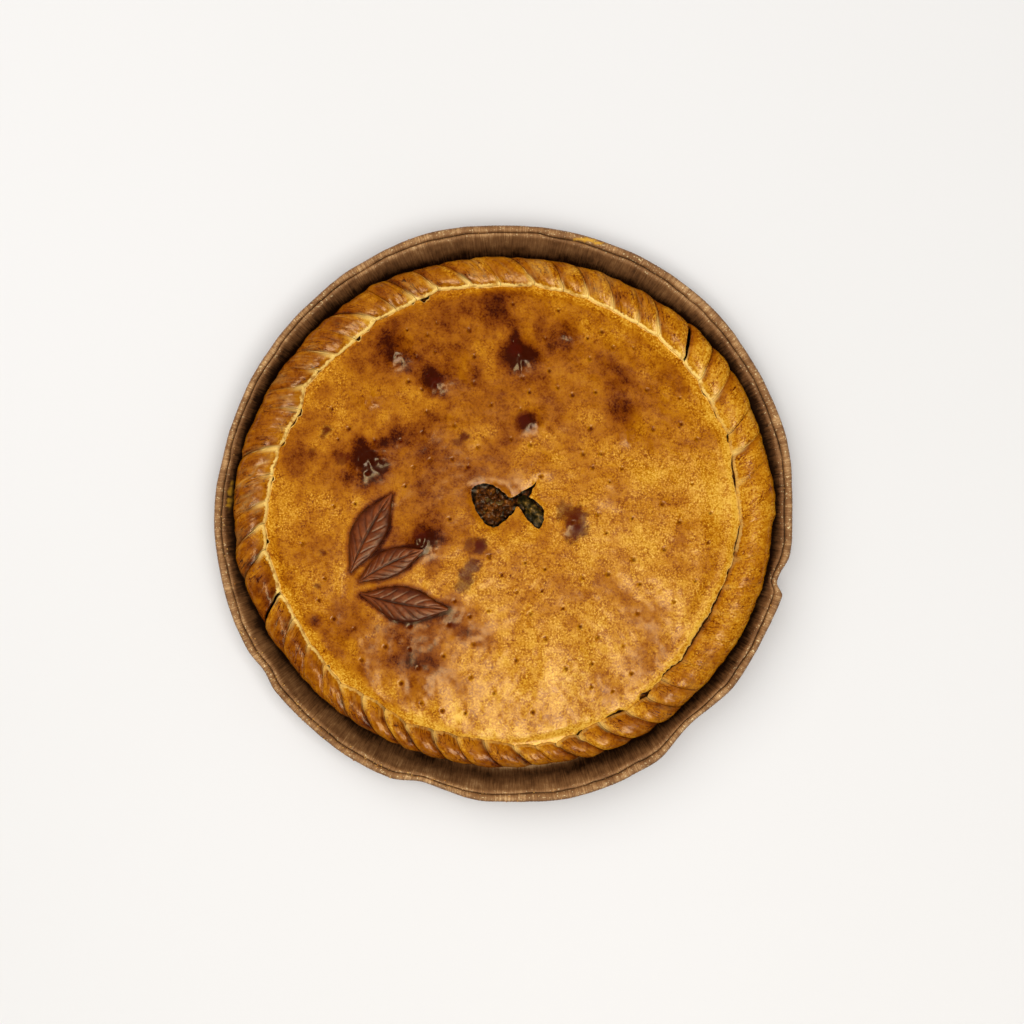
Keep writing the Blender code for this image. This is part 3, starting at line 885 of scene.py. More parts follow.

# %% [markdown]
# ## How brown, how pale, how scorched
#
# Colour on baked dough follows its shape, so numbers are stored at each point of the lid. `bake` goes from
# 0, pale dough, to 1, nearly burnt. `cream` marks the raw-looking dough inside the vent. One number holds
# the dark red spots where juice has boiled through, and the fork holes, burnt and with painted shade on
# their lower right side. `shore` is the distance from the lid's edge, and `bank` how bright the stretched
# dough along it is.

# %% Paint the lid
LID_BAKE = 0.43
PATCH_WEIGHT = 1.38
HALO_WEIGHT = 0.42
VENT_REACH = 30


def lid_bake(x, y):
    """A broad gradient, patches, blisters and the pale band inside the seam."""
    angle = np.arctan2(y, x)
    inset = (1 - lid_share(x, y)) * SEAM_RADIUS
    bake = LID_BAKE + 0.0010 * y + 0.09 * hills(x, y, 21, 90) + 0.11 * hills(x, y, 8, 91)
    for px, py, radius, strength in PATCHES:
        cx, cy = at_pixel(px, py)
        wander = 1 + 0.35 * hills(x, y, 7, 92)
        bake = bake + PATCH_WEIGHT * strength * bump(np.hypot(x - cx, y - cy) * wander, radius)
    for bx, by, radius, rise in BLISTERS:
        bake = bake + 0.08 * rise * bump(np.hypot(x - bx, y - by), 0.95 * radius)
    band = 2.0 + 2.6 * (0.5 + 0.5 * np.cos(angle + math.radians(60))) + ring_hills(angle, 0.5, 1, 1, 94)
    for facts in LEAVES:
        bake = bake + HALO_WEIGHT * leaf_halo(x, y, *facts)
    pale = 0.2 + 0.05 * np.cos(angle)
    return bake - pale * (1 - ramp(inset, 0.4 * band, 2.2 * band))


def lid_scorch(x, y):
    """Scorched spots with ragged edges, and burnt fork holes with painted shade to their lower right."""
    scorch_and_shade = np.zeros_like(x)
    ragged = 1 + 0.4 * hills(x, y, 2.5, 93) + 0.25 * hills(x, y, 1.1, 95)
    for px, py, radius, strength in SCORCHES:
        cx, cy = at_pixel(px, py)
        spot = bump(np.hypot(x - cx, y - cy) * ragged, radius)
        scorch_and_shade = np.maximum(scorch_and_shade, strength * (0.35 * spot + 0.65 * ramp(spot, 0.15, 0.6)))
    for (hx, hy), size in zip(HOLES, HOLE_SIZES):
        burnt = 0.5 + 0.4 * (0.5 + 0.5 * math.sin(7 * hx))
        # A hole's dark spot sits to its lower right, the side of the pit in shade: burnt colour and painted
        # shade
        off_centre = np.hypot(x - hx - 0.25 * size, y - hy + 0.25 * size) / size
        scorch_and_shade = np.maximum(scorch_and_shade, burnt * (1 - ramp(off_centre, 0.45, 1.2)))
    return scorch_and_shade


x, y, z = places(lid).T
below = ramp(smooth_lid(x, y) - z, 1.8, 2.6) * (np.hypot(x, y) < VENT_REACH)
lid_angle = np.arctan2(y, x)
inset = lid_edge(lid_angle) - np.hypot(x, y)
bake = lid_bake(x, y) - 0.25 * below
paint(lid, "bake", bake)
paint(lid, "cream", 0.6 * below)
paint(lid, "scorch_and_shade", lid_scorch(x, y) * (1 - below))
paint(lid, "shore", np.clip(2.4 * inset, -1, 8))
paint(lid, "bank", np.maximum(0.9 * tuck(lid_angle), 0.85 * bank(lid_angle)))
print("the lid is baked from", bake.min().round(2), "to", bake.max().round(2))

# %% [markdown]
# ## The rope
#
# Each strand starts at the seam and runs outwards and anticlockwise, so the grid of the rope is slanted
# the same way. One direction runs along the rope through all its strands, and the other carries the
# section of the rope from the seam, over its crown, down its outer side and in below the pie. Every
# strand's crown rises between two grooves.
#
# The section of the rope is a list of corners, rounded by a smooth curve through them, and the length along
# it gives each point a share `s`: 0 at the seam, 1 at the widest place of the rope. The strand relief is
# pushed in towards the middle of the section.

# %% Rope section
STRAND_COLUMNS = 28
CURVE_STEPS = 40
ROPE_CENTRE = (146.5, 20.5)
ROPE_CORNERS = np.array([
    (SEAM_RADIUS + 0.9, LID_EDGE - LID_THICKNESS),
    (SEAM_RADIUS - 0.1, LID_EDGE - 1.2),
    (SEAM_RADIUS + 0.2, LID_EDGE + 0.2),
    (SEAM_RADIUS + 1.4, LID_EDGE + 1.1),
    (SEAM_RADIUS + 3.6, ROPE_TOP - 0.9),
    (SEAM_RADIUS + 8.2, ROPE_TOP + 0.1),
    (PIE_RADIUS - 4.6, ROPE_TOP - 1.4),
    (PIE_RADIUS - 1.2, ROPE_TOP - 4.4),
    (PIE_RADIUS - 0.1, ROPE_TOP - 8.2),
    (PIE_RADIUS - 1.4, ROPE_TOP - 12.5),
    (PIE_RADIUS - 4.0, 12.0),
    (PIE_RADIUS - 6.4, 5.0),
    (PIE_RADIUS - 8.0, PIE_BASE + 1.0),
    (PIE_RADIUS - 10.5, PIE_BASE),
])
ROPE_RINGS = 58
SEAM_CORNER = 2
OUTER_CORNER = 8


def open_curve(corners, steps):
    """A smooth open curve through corners: Catmull-Rom cubics, with each end mirrored beyond itself."""
    before, after = 2 * corners[0] - corners[1], 2 * corners[-1] - corners[-2]
    line = np.concatenate([[before], corners, [after]])[:, None, :]
    a, b, c, d = line[:-3], line[1:-2], line[2:-1], line[3:]
    t = np.linspace(0, 1, steps, endpoint=False)[:, None]
    curve = b + 0.5 * t * (c - a + t * (2 * a - 5 * b + 4 * c - d + t * (3 * (b - c) + d - a)))
    return np.concatenate([curve.reshape(-1, 2), corners[-1:]])


fine = open_curve(ROPE_CORNERS, CURVE_STEPS)
length = np.concatenate([[0], np.hypot(*np.diff(fine, axis=0).T).cumsum()])
seam_length, outer_length = (length[corner * CURVE_STEPS] for corner in (SEAM_CORNER, OUTER_CORNER))
stations = np.linspace(0, 1, ROPE_RINGS) ** 1.12 * length[-1]
section = np.stack([np.interp(stations, length, axis) for axis in fine.T], axis=-1)
section_share = (stations - seam_length) / (outer_length - seam_length)
print("rope section:", ROPE_RINGS, "points over", length[-1].round(1), "mm")

# %% [markdown]
# A strand's own section is lopsided: it rises steeply from the groove where it comes out from under its
# neighbour, and falls away softly to the next. Shallow grooves die out on the crown, and deep ones run right
# over it. Fine wrinkles follow the strands, long hills make the rope thicker and thinner, and where the
# dough has split there is a deep slit, painted nearly black inside as painted shade.

# %% Rope relief
# How far out a groove runs, by its depth in millimetres
DEPTHS = (0.5, 1.2, 1.8, 2.4)
REACHES = (0.45, 0.75, 1.15, 1.6)
FOLD_HEIGHT = 0.9
# Hills along the rope: height in millimetres, cells along and across, and seed
ROPE_HILLS = ((0.5, 1, 0.9, 103), (0.34, 3, 0.32, 104))


def reach_out(strand, share, s):
    """1 near the seam, falling to 0 where the grooves die out: further out for deep ones."""
    end = np.interp(across_strand(groove_depth, strand, share), DEPTHS, REACHES)
    return 1 - ramp(s, end - 0.2, end + 0.35)


def slit_depth(strand, share, s):
    """Depth of the two slits, straight down at the seam and inwards at the rope's outer side."""
    number, away = nearest_groove(strand, share)
    half = 0.4 + 0.4 * ramp(s, 0, 1)
    deep = (3.5 + 5.5 * ramp(s, 0.05, 0.3)) * is_slit[number]
    deep = deep * (1 - ramp(away * PIE_RADIUS, half, half + 0.5))
    return deep * ramp(s, -0.1, 0.0) * (1 - ramp(s, 1.8, 2.4))


def fold_lines(strand, share, angle, s):
    """Thin wrinkles along the strands, from 0 to about 0.7, most of them at the upper left."""
    flow = strand + share
    wrinkled = 0.25 + 0.35 * ramp(-np.abs(turn_between(angle, 130)), -90, -30)
    wrinkled = wrinkled + 0.2 * ramp(-np.abs(turn_between(angle, 255)), -50, -20)
    wrinkled = wrinkled * (0.6 + 0.5 * ring_hills(angle, s, 1, 0.5, 107))
    folds = ridges(flow * 3.4, s * 1.3, 1, 101) ** 3 + 0.7 * ridges(flow * 7, s * 2.2, 1, 102) ** 3
    return wrinkled * folds * ramp(s, 0.02, 0.15) * (1 - ramp(s, 1.1, 1.8))


def rope_relief(strand, share, angle, s):
    """How far each point is pushed in, for a strand number, the share across it, its angle and s."""
    depth = across_strand(groove_depth, strand, share)
    lobe = np.sin(np.pi * share**0.66) ** 0.4
    dome = (2 * share - 1) ** 2
    away = nearest_groove(strand, share)[1]
    crease = 1 - ramp(away * PIE_RADIUS, 0, 0.8)
    relief = depth * (0.8 * (1 - lobe) + 0.35 * dome + 0.22 * crease)
    relief = relief * ramp(s, -0.06, 0.14) * reach_out(strand, share, s)
    relief = relief + FOLD_HEIGHT * fold_lines(strand, share, angle, s)
    for rise, laps, size, seed in ROPE_HILLS:
        relief = relief + rise * ring_hills(angle, s, laps, size, seed)
    return relief + 0.16 * ring_hills(angle, s, 7, 0.16, 106) * ramp(s, 0.0, 0.1)


def edge_bulge(angle):
    """Places where a strand stands out beyond the smooth outline."""
    return sum(rise * bump(turn_between(angle, at), wide) for at, wide, rise in EDGE_BULGES)


def make_rope():
    """The slanted grid of the rope and the wall below it, closed over the pie's floor."""
    fraction = np.linspace(0, 1, STRAND_COLUMNS, endpoint=False)
    fraction = fraction - 0.26 * np.sin(TURN * fraction) / np.pi
    strand = np.repeat(np.arange(strands), STRAND_COLUMNS)[None, :]
    share = np.tile(fraction, strands)[None, :]
    s = section_share[:, None]
    at_seam = groove[strand] + share * widths[strand]
    lean = across_strand(groove_lean, strand, share)
    angle = at_seam + lean * np.clip(s, 0, 1.15) ** 1.15
    relief = rope_relief(strand, share, angle, s)
    slit = slit_depth(strand, share, s)
    outward = section - ROPE_CENTRE
    outward = outward / np.hypot(*outward.T)[:, None]
    radius = section[:, :1] - relief * outward[:, :1] - 0.8 * slit * ramp(s, 0.7, 1.2)
    height = section[:, 1:] - relief * outward[:, 1:] * (section[:, 1:] > PIE_BASE + 0.5)
    height = height - slit * (1 - ramp(s, 0.8, 1.6))
    near_seam = ramp(s, 0.0, 0.3) - 1
    height = height + 1.6 * tuck(angle) * near_seam * (section[:, 1:] > LID_EDGE - 2)
    height = np.maximum(height, PIE_BASE)
    radius = pie_radius(radius, angle) + seam_wave(at_seam) * (1 - ramp(s, 0.02, 0.35))
    radius = radius + (0.45 * ring_hills(angle, s, 2, 3, 105) + edge_bulge(angle)) * ramp(s, 0.4, 1)
    rings = np.stack([radius * np.cos(angle), radius * np.sin(angle), height], axis=-1)
    floor = rings[:1] * [1, 1, 0] + [0, 0, PIE_BASE + DOUGH]
    inner = rings[:1] * [0.3, 0.3, 0] + [0, 0, PIE_BASE + DOUGH]
    below = rings[-1:] * [0.3, 0.3, 1]
    rings = np.concatenate([inner, floor, rings, below])
    piece = ring_solid("rope_crust", rings)
    return piece, strand, share, angle, s


rope, strand, share, rope_angle, s = make_rope()
settle(rope, "crust", "base_crust")

# %% [markdown]
# Along the seam, and a little way out in each groove, the dough was stretched after the egg wash went on,
# so it stayed the colour of cream. These lines are thinner than the grid, so what is stored is the distance
# to the nearest groove and to the seam, which the material turns into crisp lines, and how strong each line
# is. The crowns of the strands are browner than the grooves. Painted shade darkens each strand just before
# its groove and beside the gap at the lower right, and painted light brightens the ridge after each groove
# and the crowns at the right, as a painted highlight.

# %% Paint the rope
# Where the painted highlight on the strands' crowns is centred, in degrees
SHEEN_ANGLE = 8
STRETCH_WIDTH = 3


def over_rings(values, fill):
    """Values of the rope's own rings, with a filler for the added rings and the two poles."""
    columns = strands * STRAND_COLUMNS
    grid = np.broadcast_to(values, (ROPE_RINGS, columns))
    pad = np.full((2, columns), fill)
    return np.concatenate([pad, grid, pad[:1]]).ravel().tolist() + [fill, fill]


def rope_lines():
    """Distance to the nearest groove in millimetres, and how creamy that groove is, fading outwards."""
    number, away = nearest_groove(strand, share)
    cream = groove_cream[number] * np.where(share < 0.5, 0.8, 0.3)
    reach = groove_cream[number] * np.maximum(0.5 + 0.6 * np.sin(2.4 * number), 0)
    cream = cream * (1 - ramp(s, 0.02 + 0.15 * reach, 0.3 + 0.7 * reach))
    return np.minimum(away * ROPE_CENTRE[0], STRETCH_WIDTH), cream


def rope_bake():
    """Browner crowns, painted shade before grooves and painted light after, paler seam and side, long hills.
    """
    crown = np.sin(np.pi * share**0.7)
    side = ramp(s, 1.05, 1.8)
    strong = ramp(across_strand(groove_depth, strand, share), 0.5, 2.0) * reach_out(strand, share, s)
    bake = 0.47 + 0.06 * crown + 0.09 * ring_hills(rope_angle, s, 1, 0.7, 111)
    bake = bake + 0.07 * ring_hills(rope_angle, s, 3, 0.35, 112) - 0.12 * side
    # Painted shade before each groove, and painted light on the ridge just after it
    bake = bake + strong * (0.32 * ramp(share, 0.6, 0.98) - 0.14 * bump(share - 0.16, 0.14))
    # A painted highlight on the crowns of the strands round the right
    painted_sheen = bump(share - 0.5, 0.3) * bump(s - 0.45, 0.28)
    painted_sheen = painted_sheen * bump(turn_between(rope_angle, SHEEN_ANGLE), 45)
    bake = bake + 0.06 * bump(turn_between(rope_angle, 100), 50) - 0.17 * painted_sheen - 0.05 * np.cos(rope_angle)
    bake = bake - 0.16 * (1 - ramp(s, 0.02, 0.3)) * (1 - 0.6 * ramp(rope_angle % TURN, 3.9, 4.3))
    # Painted shade on the rope beside the gap at the lower right
    bake = bake + 0.3 * tuck(rope_angle) * (1 - ramp(s, 0.0, 0.14))
    return bake + 0.06 * np.cos(rope_angle - math.radians(220))


crease, line = rope_lines()
# The slits are painted nearly black inside: painted shade in the split dough
cleft_shade = ramp(slit_depth(strand, share, s), 0.5, 2.5)
# Wrinkles are painted creamy: partly stretched dough, partly painted highlight
wrinkle = np.clip(fold_lines(strand, share, rope_angle, s) - 0.12, 0, 1)
# The side of each strand just before its groove, where painted shade goes
before = -np.sin(TURN * share) * ramp(groove_depth[strand], 0.6, 1.6) * reach_out(strand, share, s)
stretch = across_strand(groove_cream, strand, np.round(share))
web = stretch * (1 - ramp(crease, 0.4, STRETCH_WIDTH)) * (1 - ramp(s, 0.06, 0.16 + 0.4 * stretch))
rope_shore = (stations - seam_length)[:, None].clip(-2, 8)
rope_numbers = (
    ("crease", crease, STRETCH_WIDTH),
    ("line", line, 0),
    ("before", before, 0),
    ("shore", rope_shore, 8),
    ("bank", bank(rope_angle), 0),
    ("bake", rope_bake(), 0.2),
    ("cream", np.maximum(0.75 * web, 0.3 * wrinkle), 0),
    ("scorch_and_shade", cleft_shade, 0),
)
for name, values, fill in rope_numbers:
    paint(rope, name, over_rings(values, fill))
rope_height = np.concatenate([[0, 0], stations * MM, [stations[-1] * MM]])
lay_uv(rope, ROPE_RINGS + 3, strands * STRAND_COLUMNS, TURN * PIE_RADIUS * MM, rope_height)
print(len(rope_numbers), "numbers stored on each point of the rope")

# %% [markdown]
# ## The paper case
#
# The case is pressed from one sheet of brown baking paper. Pressing gathers the wall into hundreds of fine
# upright pleats, and rolls the rim into a bead, a groove and a lip that turns down. The profile runs from
# the middle of the floor up the inside, over the lip and back down the outside, one sheet away. The waves
# and dents of the rim fade out towards the floor.

# %% Case profile
PLEATS = 512
PLEAT_COLUMNS = 4
CASE_COLUMNS = PLEATS * PLEAT_COLUMNS
GUTTER = 11
crest = CASE_HEIGHT - 0.4
CASE_INSIDE = np.array([
    (CASE_FLOOR_RADIUS - 6.0, CASE_PAPER),
    (CASE_FLOOR_RADIUS - 2.4, CASE_PAPER),
    (CASE_FLOOR_RADIUS - 0.4, CASE_PAPER + 0.5),
    (CASE_FLOOR_RADIUS + 0.9, CASE_PAPER + 2.2),
    (CASE_RADIUS - 14.2, 9.0),
    (CASE_RADIUS - 11.4, 15.0),
    (CASE_RADIUS - 8.9, 20.2),
    (CASE_RADIUS - 7.3, crest - 1.5),
    (CASE_RADIUS - 6.3, crest - 0.5),
    (CASE_RADIUS - 5.5, crest - 0.2),
    (CASE_RADIUS - 4.9, crest - 0.7),
    (CASE_RADIUS - 4.5, crest - 1.9),
    (CASE_RADIUS - 4.0, crest - 0.6),
    (CASE_RADIUS - 3.0, CASE_HEIGHT - 0.1),
    (CASE_RADIUS - 1.6, CASE_HEIGHT),
    (CASE_RADIUS - 0.6, CASE_HEIGHT - 0.8),
    (CASE_RADIUS - 0.05, CASE_HEIGHT - 2.2),
    (CASE_RADIUS, CASE_HEIGHT - 3.9),
])
inside = open_curve(CASE_INSIDE, 2)
tangent = np.gradient(inside, axis=0)
normal = np.stack([tangent[:, 1], -tangent[:, 0]], axis=-1) / np.hypot(*tangent.T)[:, None]
# The outside is never seen close, so it takes every third point
outside = np.maximum((inside + CASE_PAPER * normal)[::-3], 0)
case_profile = np.concatenate([inside, outside])
gutter_point = 2 * GUTTER
print("case profile:", len(case_profile), "points")

# %% [markdown]
# A pleat is one wave of a cosine, 2.1 mm wide. Real pleats are not alike, so their depth follows hills round
# the rim, and wider buckles are laid over them. The folds stay on the wall and rim: the floor of the case
# is flat, because the pie stands on it.

# %% Case mesh
PLEAT_DEPTH = 0.13
RIM_FOOT = 12


def outline_weight(radius, height):
    """How much of the rim's waves and dents a place takes on: none on the floor, all of it at the lip."""
    on_wall = np.interp(height, [1.0, 2.5, 14, 24], [0, 0.05, 0.3, 0.55])
    on_rim = np.interp(radius, CASE_RADIUS - np.array([6.5, 5, 2.2, 0]), [0, 0.1, 0.38, 0.45])
    return on_wall + on_rim * (height > RIM_FOOT)


def make_case():
    """The profile swept round, with waves, dents, buckles and pleats added to its radius."""
    angle = (np.arange(CASE_COLUMNS) * TURN / CASE_COLUMNS)[None, :]
    radius, height = case_profile[:, :1], case_profile[:, 1:]
    weight = outline_weight(radius, height)
    folds = ramp(height, 1.2, 5) * (1 - 0.4 * ramp(radius, CASE_RADIUS - 7, CASE_RADIUS - 4))
    depth = PLEAT_DEPTH * (0.65 + 0.6 * ring_hills(angle, height, 4, 9, 120))
    pleat = depth * np.cos(angle * PLEATS + 1.3 * ring_hills(angle, height, 2, 30, 121))
    buckle = 0.42 * ring_hills(angle, height, 1, 12, 122) + 0.2 * ring_hills(angle, height, 3, 8, 123)
    sway = 0.6 * ring_hills(angle, 0.5, 1, 1, 126) + 0.35 * ring_hills(angle, 0.5, 3, 1, 127)
    sway = sway * bump(radius - case_profile[gutter_point, 0], 2.2) * ramp(height, 14, 20)
    across = radius + weight * case_bulge(angle) + folds * (pleat + buckle) + sway
    lift = 0.35 * ring_hills(angle, 0.5, 1, 1, 124) + 0.12 * ring_hills(angle, 0.5, 6, 1, 125)
    up = np.minimum(height + lift * ramp(height, RIM_FOOT, 24), CASE_HEIGHT + 0.3)
    rings = np.stack([across * np.cos(angle), across * np.sin(angle), up], axis=-1)
    return ring_solid("pleated_case", rings)


case = make_case()
settle(case, "case_paper", "paper_case")
along = np.concatenate([[0], np.hypot(*np.diff(case_profile, axis=0).T).cumsum()]) * MM
lay_uv(case, len(case_profile), CASE_COLUMNS, TURN * CASE_RADIUS * MM, along)

# %% [markdown]
# Two smears of yellow dough stick to the rim, and painted shade darkens the inside next to the pie, more
# widely towards 285 degrees. The foot of the wall comes out pale there. All are stored as numbers on the
# case's points, and so are the top of the rim, lighter with painted highlight and glints, and the distance
# from the bottom of the groove in the rim, where painted shade lies in a thin dark line.

# %% Paint the case
# Pixel, and half the size across and up the picture in millimetres
SMEARS = ((230, 491, 1.6, 4.5), (228, 501, 1.2, 3.0), (588, 240, 6.0, 1.2), (598, 243, 3.6, 1.0))
FOOT_RADIUS = 151.4
FOOT_ANGLE = 278
x, y, z = places(case).T
smear = np.zeros_like(x)
for px, py, half_x, half_y in SMEARS:
    cx, cy = at_pixel(px, py)
    ragged = 1 + 0.7 * hills(x, y, 1.6, 130)
    spread = np.hypot((x - cx) / half_x, (y - cy) / half_y) * ragged
    smear = np.maximum(smear, 0.85 * (1 - ramp(spread, 0.4, 1.2)))
paint(case, "smear", smear * ramp(z, 15, 22))
case_turn = np.arctan2(y, x)
# Painted shade next to the pie, deepest where it nearly touches the wall
from_pie = np.hypot(x, y) - pie_edge(case_turn) - edge_bulge(case_turn)
reach = 9 + 4 * bump(turn_between(case_turn, 285), 32)
pie_shade = 0.6 * (1 - ramp(from_pie / reach, 0.1, 1)) + 0.4 * (1 - ramp(from_pie, 0, 3.5))
on_inside = np.arange(len(x)) < len(inside) * CASE_COLUMNS
paint(case, "pie_shade", pie_shade * on_inside * (np.hypot(x, y) < CASE_RADIUS - 1))
# The top of the rim, lighter with painted highlight and painted glints
paint(case, "edge", ramp(z, CASE_HEIGHT - 2.2, CASE_HEIGHT + 0.1))
foot = bump(np.hypot(x, y) - FOOT_RADIUS, 2.6) * bump(turn_between(case_turn, FOOT_ANGLE), 17)
paint(case, "foot", foot * (z < 8))
from_gutter = np.repeat(np.abs(along - along[gutter_point]) / MM, CASE_COLUMNS)
paint(case, "gutter", np.append(from_gutter, [9, 9]).clip(0, 4))
print(int((smear > 0.5).sum()), "points of the case lie under a smear")

# %% [markdown]
# ## The filling
#
# The solid filling runs right through the pie. Here it becomes a disc that fills the crust, with a lumpy
# top where the vent shows it. On it lie crumbs of cooked meat, strips of green pepper and slivers of onion.
# A crumb is a coarse ball pushed in and out by random amounts, and all crumbs are one mesh. Painted shade
# along the edge of the vent, where the torn lid overhangs them all, is stored as a number on their points.

# %% Filling core
def make_filling():
    """A disc with a lumpy top, from the middle out to the crust and back below."""
    columns, under = 220, LID_EDGE - LID_THICKNESS - HAIR_GAP
    angle = (np.arange(columns) * TURN / columns)[None, :]
    radius = np.concatenate([np.linspace(0.3, 34, 76), [45, 70, 100, 133, 136.4]])[:, None]
    share = radius / SEAM_RADIUS
    x, y = radius * np.cos(angle), radius * np.sin(angle)
    seen = 1 - ramp(radius, 28, 34)
    lumps = 1.1 * hills(x, y, 5, 140) + 0.5 * hills(x, y, 2.2, 141) - 1.5
    top = under + (LID_CENTRE - LID_EDGE) * (1 - np.minimum(share, 1) ** DOME_POWER)
    top = top - 0.2 + seen * lumps
    wide = pie_radius(radius, angle) / radius
    rings = np.stack([x * wide, y * wide, top], axis=-1)
    low = rings[-1:] * [1, 1, 0] + [0, 0, PIE_BASE + DOUGH + HAIR_GAP]
    floor = rings[:1] * [1, 1, 0] + [0, 0, PIE_BASE + DOUGH + HAIR_GAP]
    return ring_solid("meat_filling_core", np.concatenate([rings, low, floor]))


def vent_shade(piece):
    """Painted shade on what lies within some 2 mm of the vent's ragged edge, as seen from above."""
    x, y, _ = places(piece).T
    ragged = 1 + 0.8 * hills(x, y, 1.8, 142)
    paint(piece, "vent_shade", 1 - ramp(edge_distance(x, y, vent_curve[::2]) * ragged, 0.7, 2.8))


filling = make_filling()
vent_shade(filling)
settle(filling, "meat_filling", "filling")

# %% Crumbs of meat
NOT_NOTHING = 1e-6
MEAT_CRUMBS = 96
MEAT_BED = 28.6


def ball(rings, columns):
    """Points and faces of a ball of radius 1, from its top pole down."""
    tilt = (np.arange(1, rings + 1) * np.pi / (rings + 1))[:, None]
    angle = (np.arange(columns) * TURN / columns)[None, :]
    flat = np.sin(tilt)
    shell = [flat * np.cos(angle), flat * np.sin(angle), np.cos(tilt) + 0 * angle]
    points = np.concatenate([np.stack(shell, axis=-1).reshape(-1, 3), [[0, 0, 1], [0, 0, -1]]])
    return points, closed_faces(rings, columns)


def spun(draw, count):
    """Random turns: a 3 by 3 matrix for each of count pieces, from unit quaternions."""
    w, a, b, c = draw.normal(size=(4, count)) + NOT_NOTHING
    w, a, b, c = np.array([w, a, b, c]) / np.sqrt(w * w + a * a + b * b + c * c)
    rows = [
        [1 - 2 * (b * b + c * c), 2 * (a * b - c * w), 2 * (a * c + b * w)],
        [2 * (a * b + c * w), 1 - 2 * (a * a + c * c), 2 * (b * c - a * w)],
        [2 * (a * c - b * w), 2 * (b * c + a * w), 1 - 2 * (a * a + b * b)],
    ]
    return np.moveaxis(np.array(rows), -1, 0)


def scatter(name, centres, sizes, seed, rings=5, columns=8, rough=0.28):
    """One mesh of many lumps: balls stretched, roughened, turned at random and moved to their places."""
    draw = np.random.default_rng(seed)
    points, faces = ball(rings, columns)
    count = len(centres)
    stretch = draw.uniform(0.65, 1.25, (count, 1, 3))
    swell = 1 + rough * draw.uniform(-1, 1, (count, len(points), 1))
    lumps = points * stretch * swell * np.reshape(sizes, (-1, 1, 1))
    lumps = np.einsum("nij,npj->npi", spun(draw, count), lumps) + centres[:, None, :]
    each = [[i + n * len(points) for i in face] for n in range(count) for face in faces]
    return make_mesh(name, lumps.reshape(-1, 3), each)


def meat_places():
    """Crumbs of meat under the left lobe of the vent and a few under the right one."""
    draw = np.random.default_rng(150)
    spread = draw.normal(size=(MEAT_CRUMBS, 2)) * [9.5, 6.5] + [-5, 4]
    spread = spread[np.hypot(spread[:, 0] - 1, spread[:, 1] - 4) < 27]
    height = MEAT_BED + draw.uniform(0, 1.3, len(spread))
    return np.column_stack([spread, height]), draw.uniform(1.2, 3.0, len(spread))


meat = scatter("meat_crumbs", *meat_places(), 151, rings=9, columns=14, rough=0.2)
vent_shade(meat)
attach(meat, "root")
report(meat)

# %% [markdown]
# Pepper and onion go soft in the oven, so each piece follows a route of its own between the crumbs. Its
# section is an ellipse, carried along the route, smoothed, and pinched at both ends.

# %% Pepper and onion
def make_strip(name, route, width, thick, seed):
    """A soft strip along a route: a flattened ring carried along it, pinched at both ends."""
    route = np.asarray(route, float)
    t = np.linspace(0, 1, 40)
    knots = np.linspace(0, 1, len(route))
    curve = [np.interp(t, knots, axis) for axis in route.T]
    curve = [np.convolve(np.pad(axis, 3, "edge"), np.ones(7) / 7, "valid") for axis in curve]
    curve = np.stack(curve, axis=-1)
    heading = np.gradient(curve, axis=0)
    heading = heading / np.linalg.norm(heading, axis=1)[:, None]
    side = np.cross(heading, [0, 0, 1])
    side = side / np.linalg.norm(side, axis=1)[:, None]
    up = np.cross(side, heading)
    angle = (np.arange(16) * TURN / 16)[None, :]
    pinch = np.clip(np.minimum(t, 1 - t) / 0.12, 0.05, 1)[:, None] ** 0.5
    wave = 1 + 0.3 * hills(t[:, None] * 9, np.cos(angle) + 3, 1, seed)
    ring = curve[:, None, :] + (width * np.cos(angle) * pinch * wave)[..., None] * side[:, None, :]
    ring = ring + (thick * np.sin(angle) * pinch)[..., None] * up[:, None, :]
    piece = ring_solid(name, ring)
    vent_shade(piece)
    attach(piece, "root")
    return piece


# Each route: x, y and height in millimetres. Sizes: half the width and half the thickness
PEPPER_SIZE = (3.0, 1.2)
ONION_SIZE = (1.3, 0.5)
PEPPER_ROUTES = (
    ((9, 10, 30.2), (13, 6.5, 31.4), (18, 2.5, 31.8), (22, -2, 31.2), (22.5, -8, 30.2)),
    ((12, 0.5, 30.2), (16, -1.5, 31.0), (19.5, -5, 31.0), (21, -9.5, 30.0)),
)
ONION_ROUTES = (
    ((-12, 10, 30.0), (-8, 7, 31.0), (-3, 5.5, 31.0), (1, 7, 30.2)),
    ((-16, 4, 30.0), (-13, 1, 30.8), (-9, -1, 30.6), (-6, -4, 30.0)),
)
pepper, onion = [], []
for n, route in enumerate(PEPPER_ROUTES, 1):
    pepper.append(make_strip(f"pepper_strip_{n}", route, *PEPPER_SIZE, 160 + n))
for n, route in enumerate(ONION_ROUTES, 1):
    onion.append(make_strip(f"onion_sliver_{n}", route, *ONION_SIZE, 170 + n))
print(len(pepper), "strips of pepper,", len(onion), "slivers of onion")

# %% [markdown]
# ## The pastry leaves
#
# A leaf is a grid with one direction along its midrib and one across. Its top is a crown that falls to a
# round edge, and the midrib and side veins are pressed in with the back of a knife. The top and underside
# are carried round together as rings, so the leaf is closed.

# %% Leaves
LEAF_CLEARANCE = 0.25
LID_HILL_TOP = LID_HILLS[0][0]
LEAF_RINGS = 110
LEAF_COLUMNS = 96
# Depth of the midrib, and of the side veins, of which there are 7.5 on each half
MIDRIB_DEPTH = 0.75
VEIN_DEPTH = 0.42
VEINS = 7.5


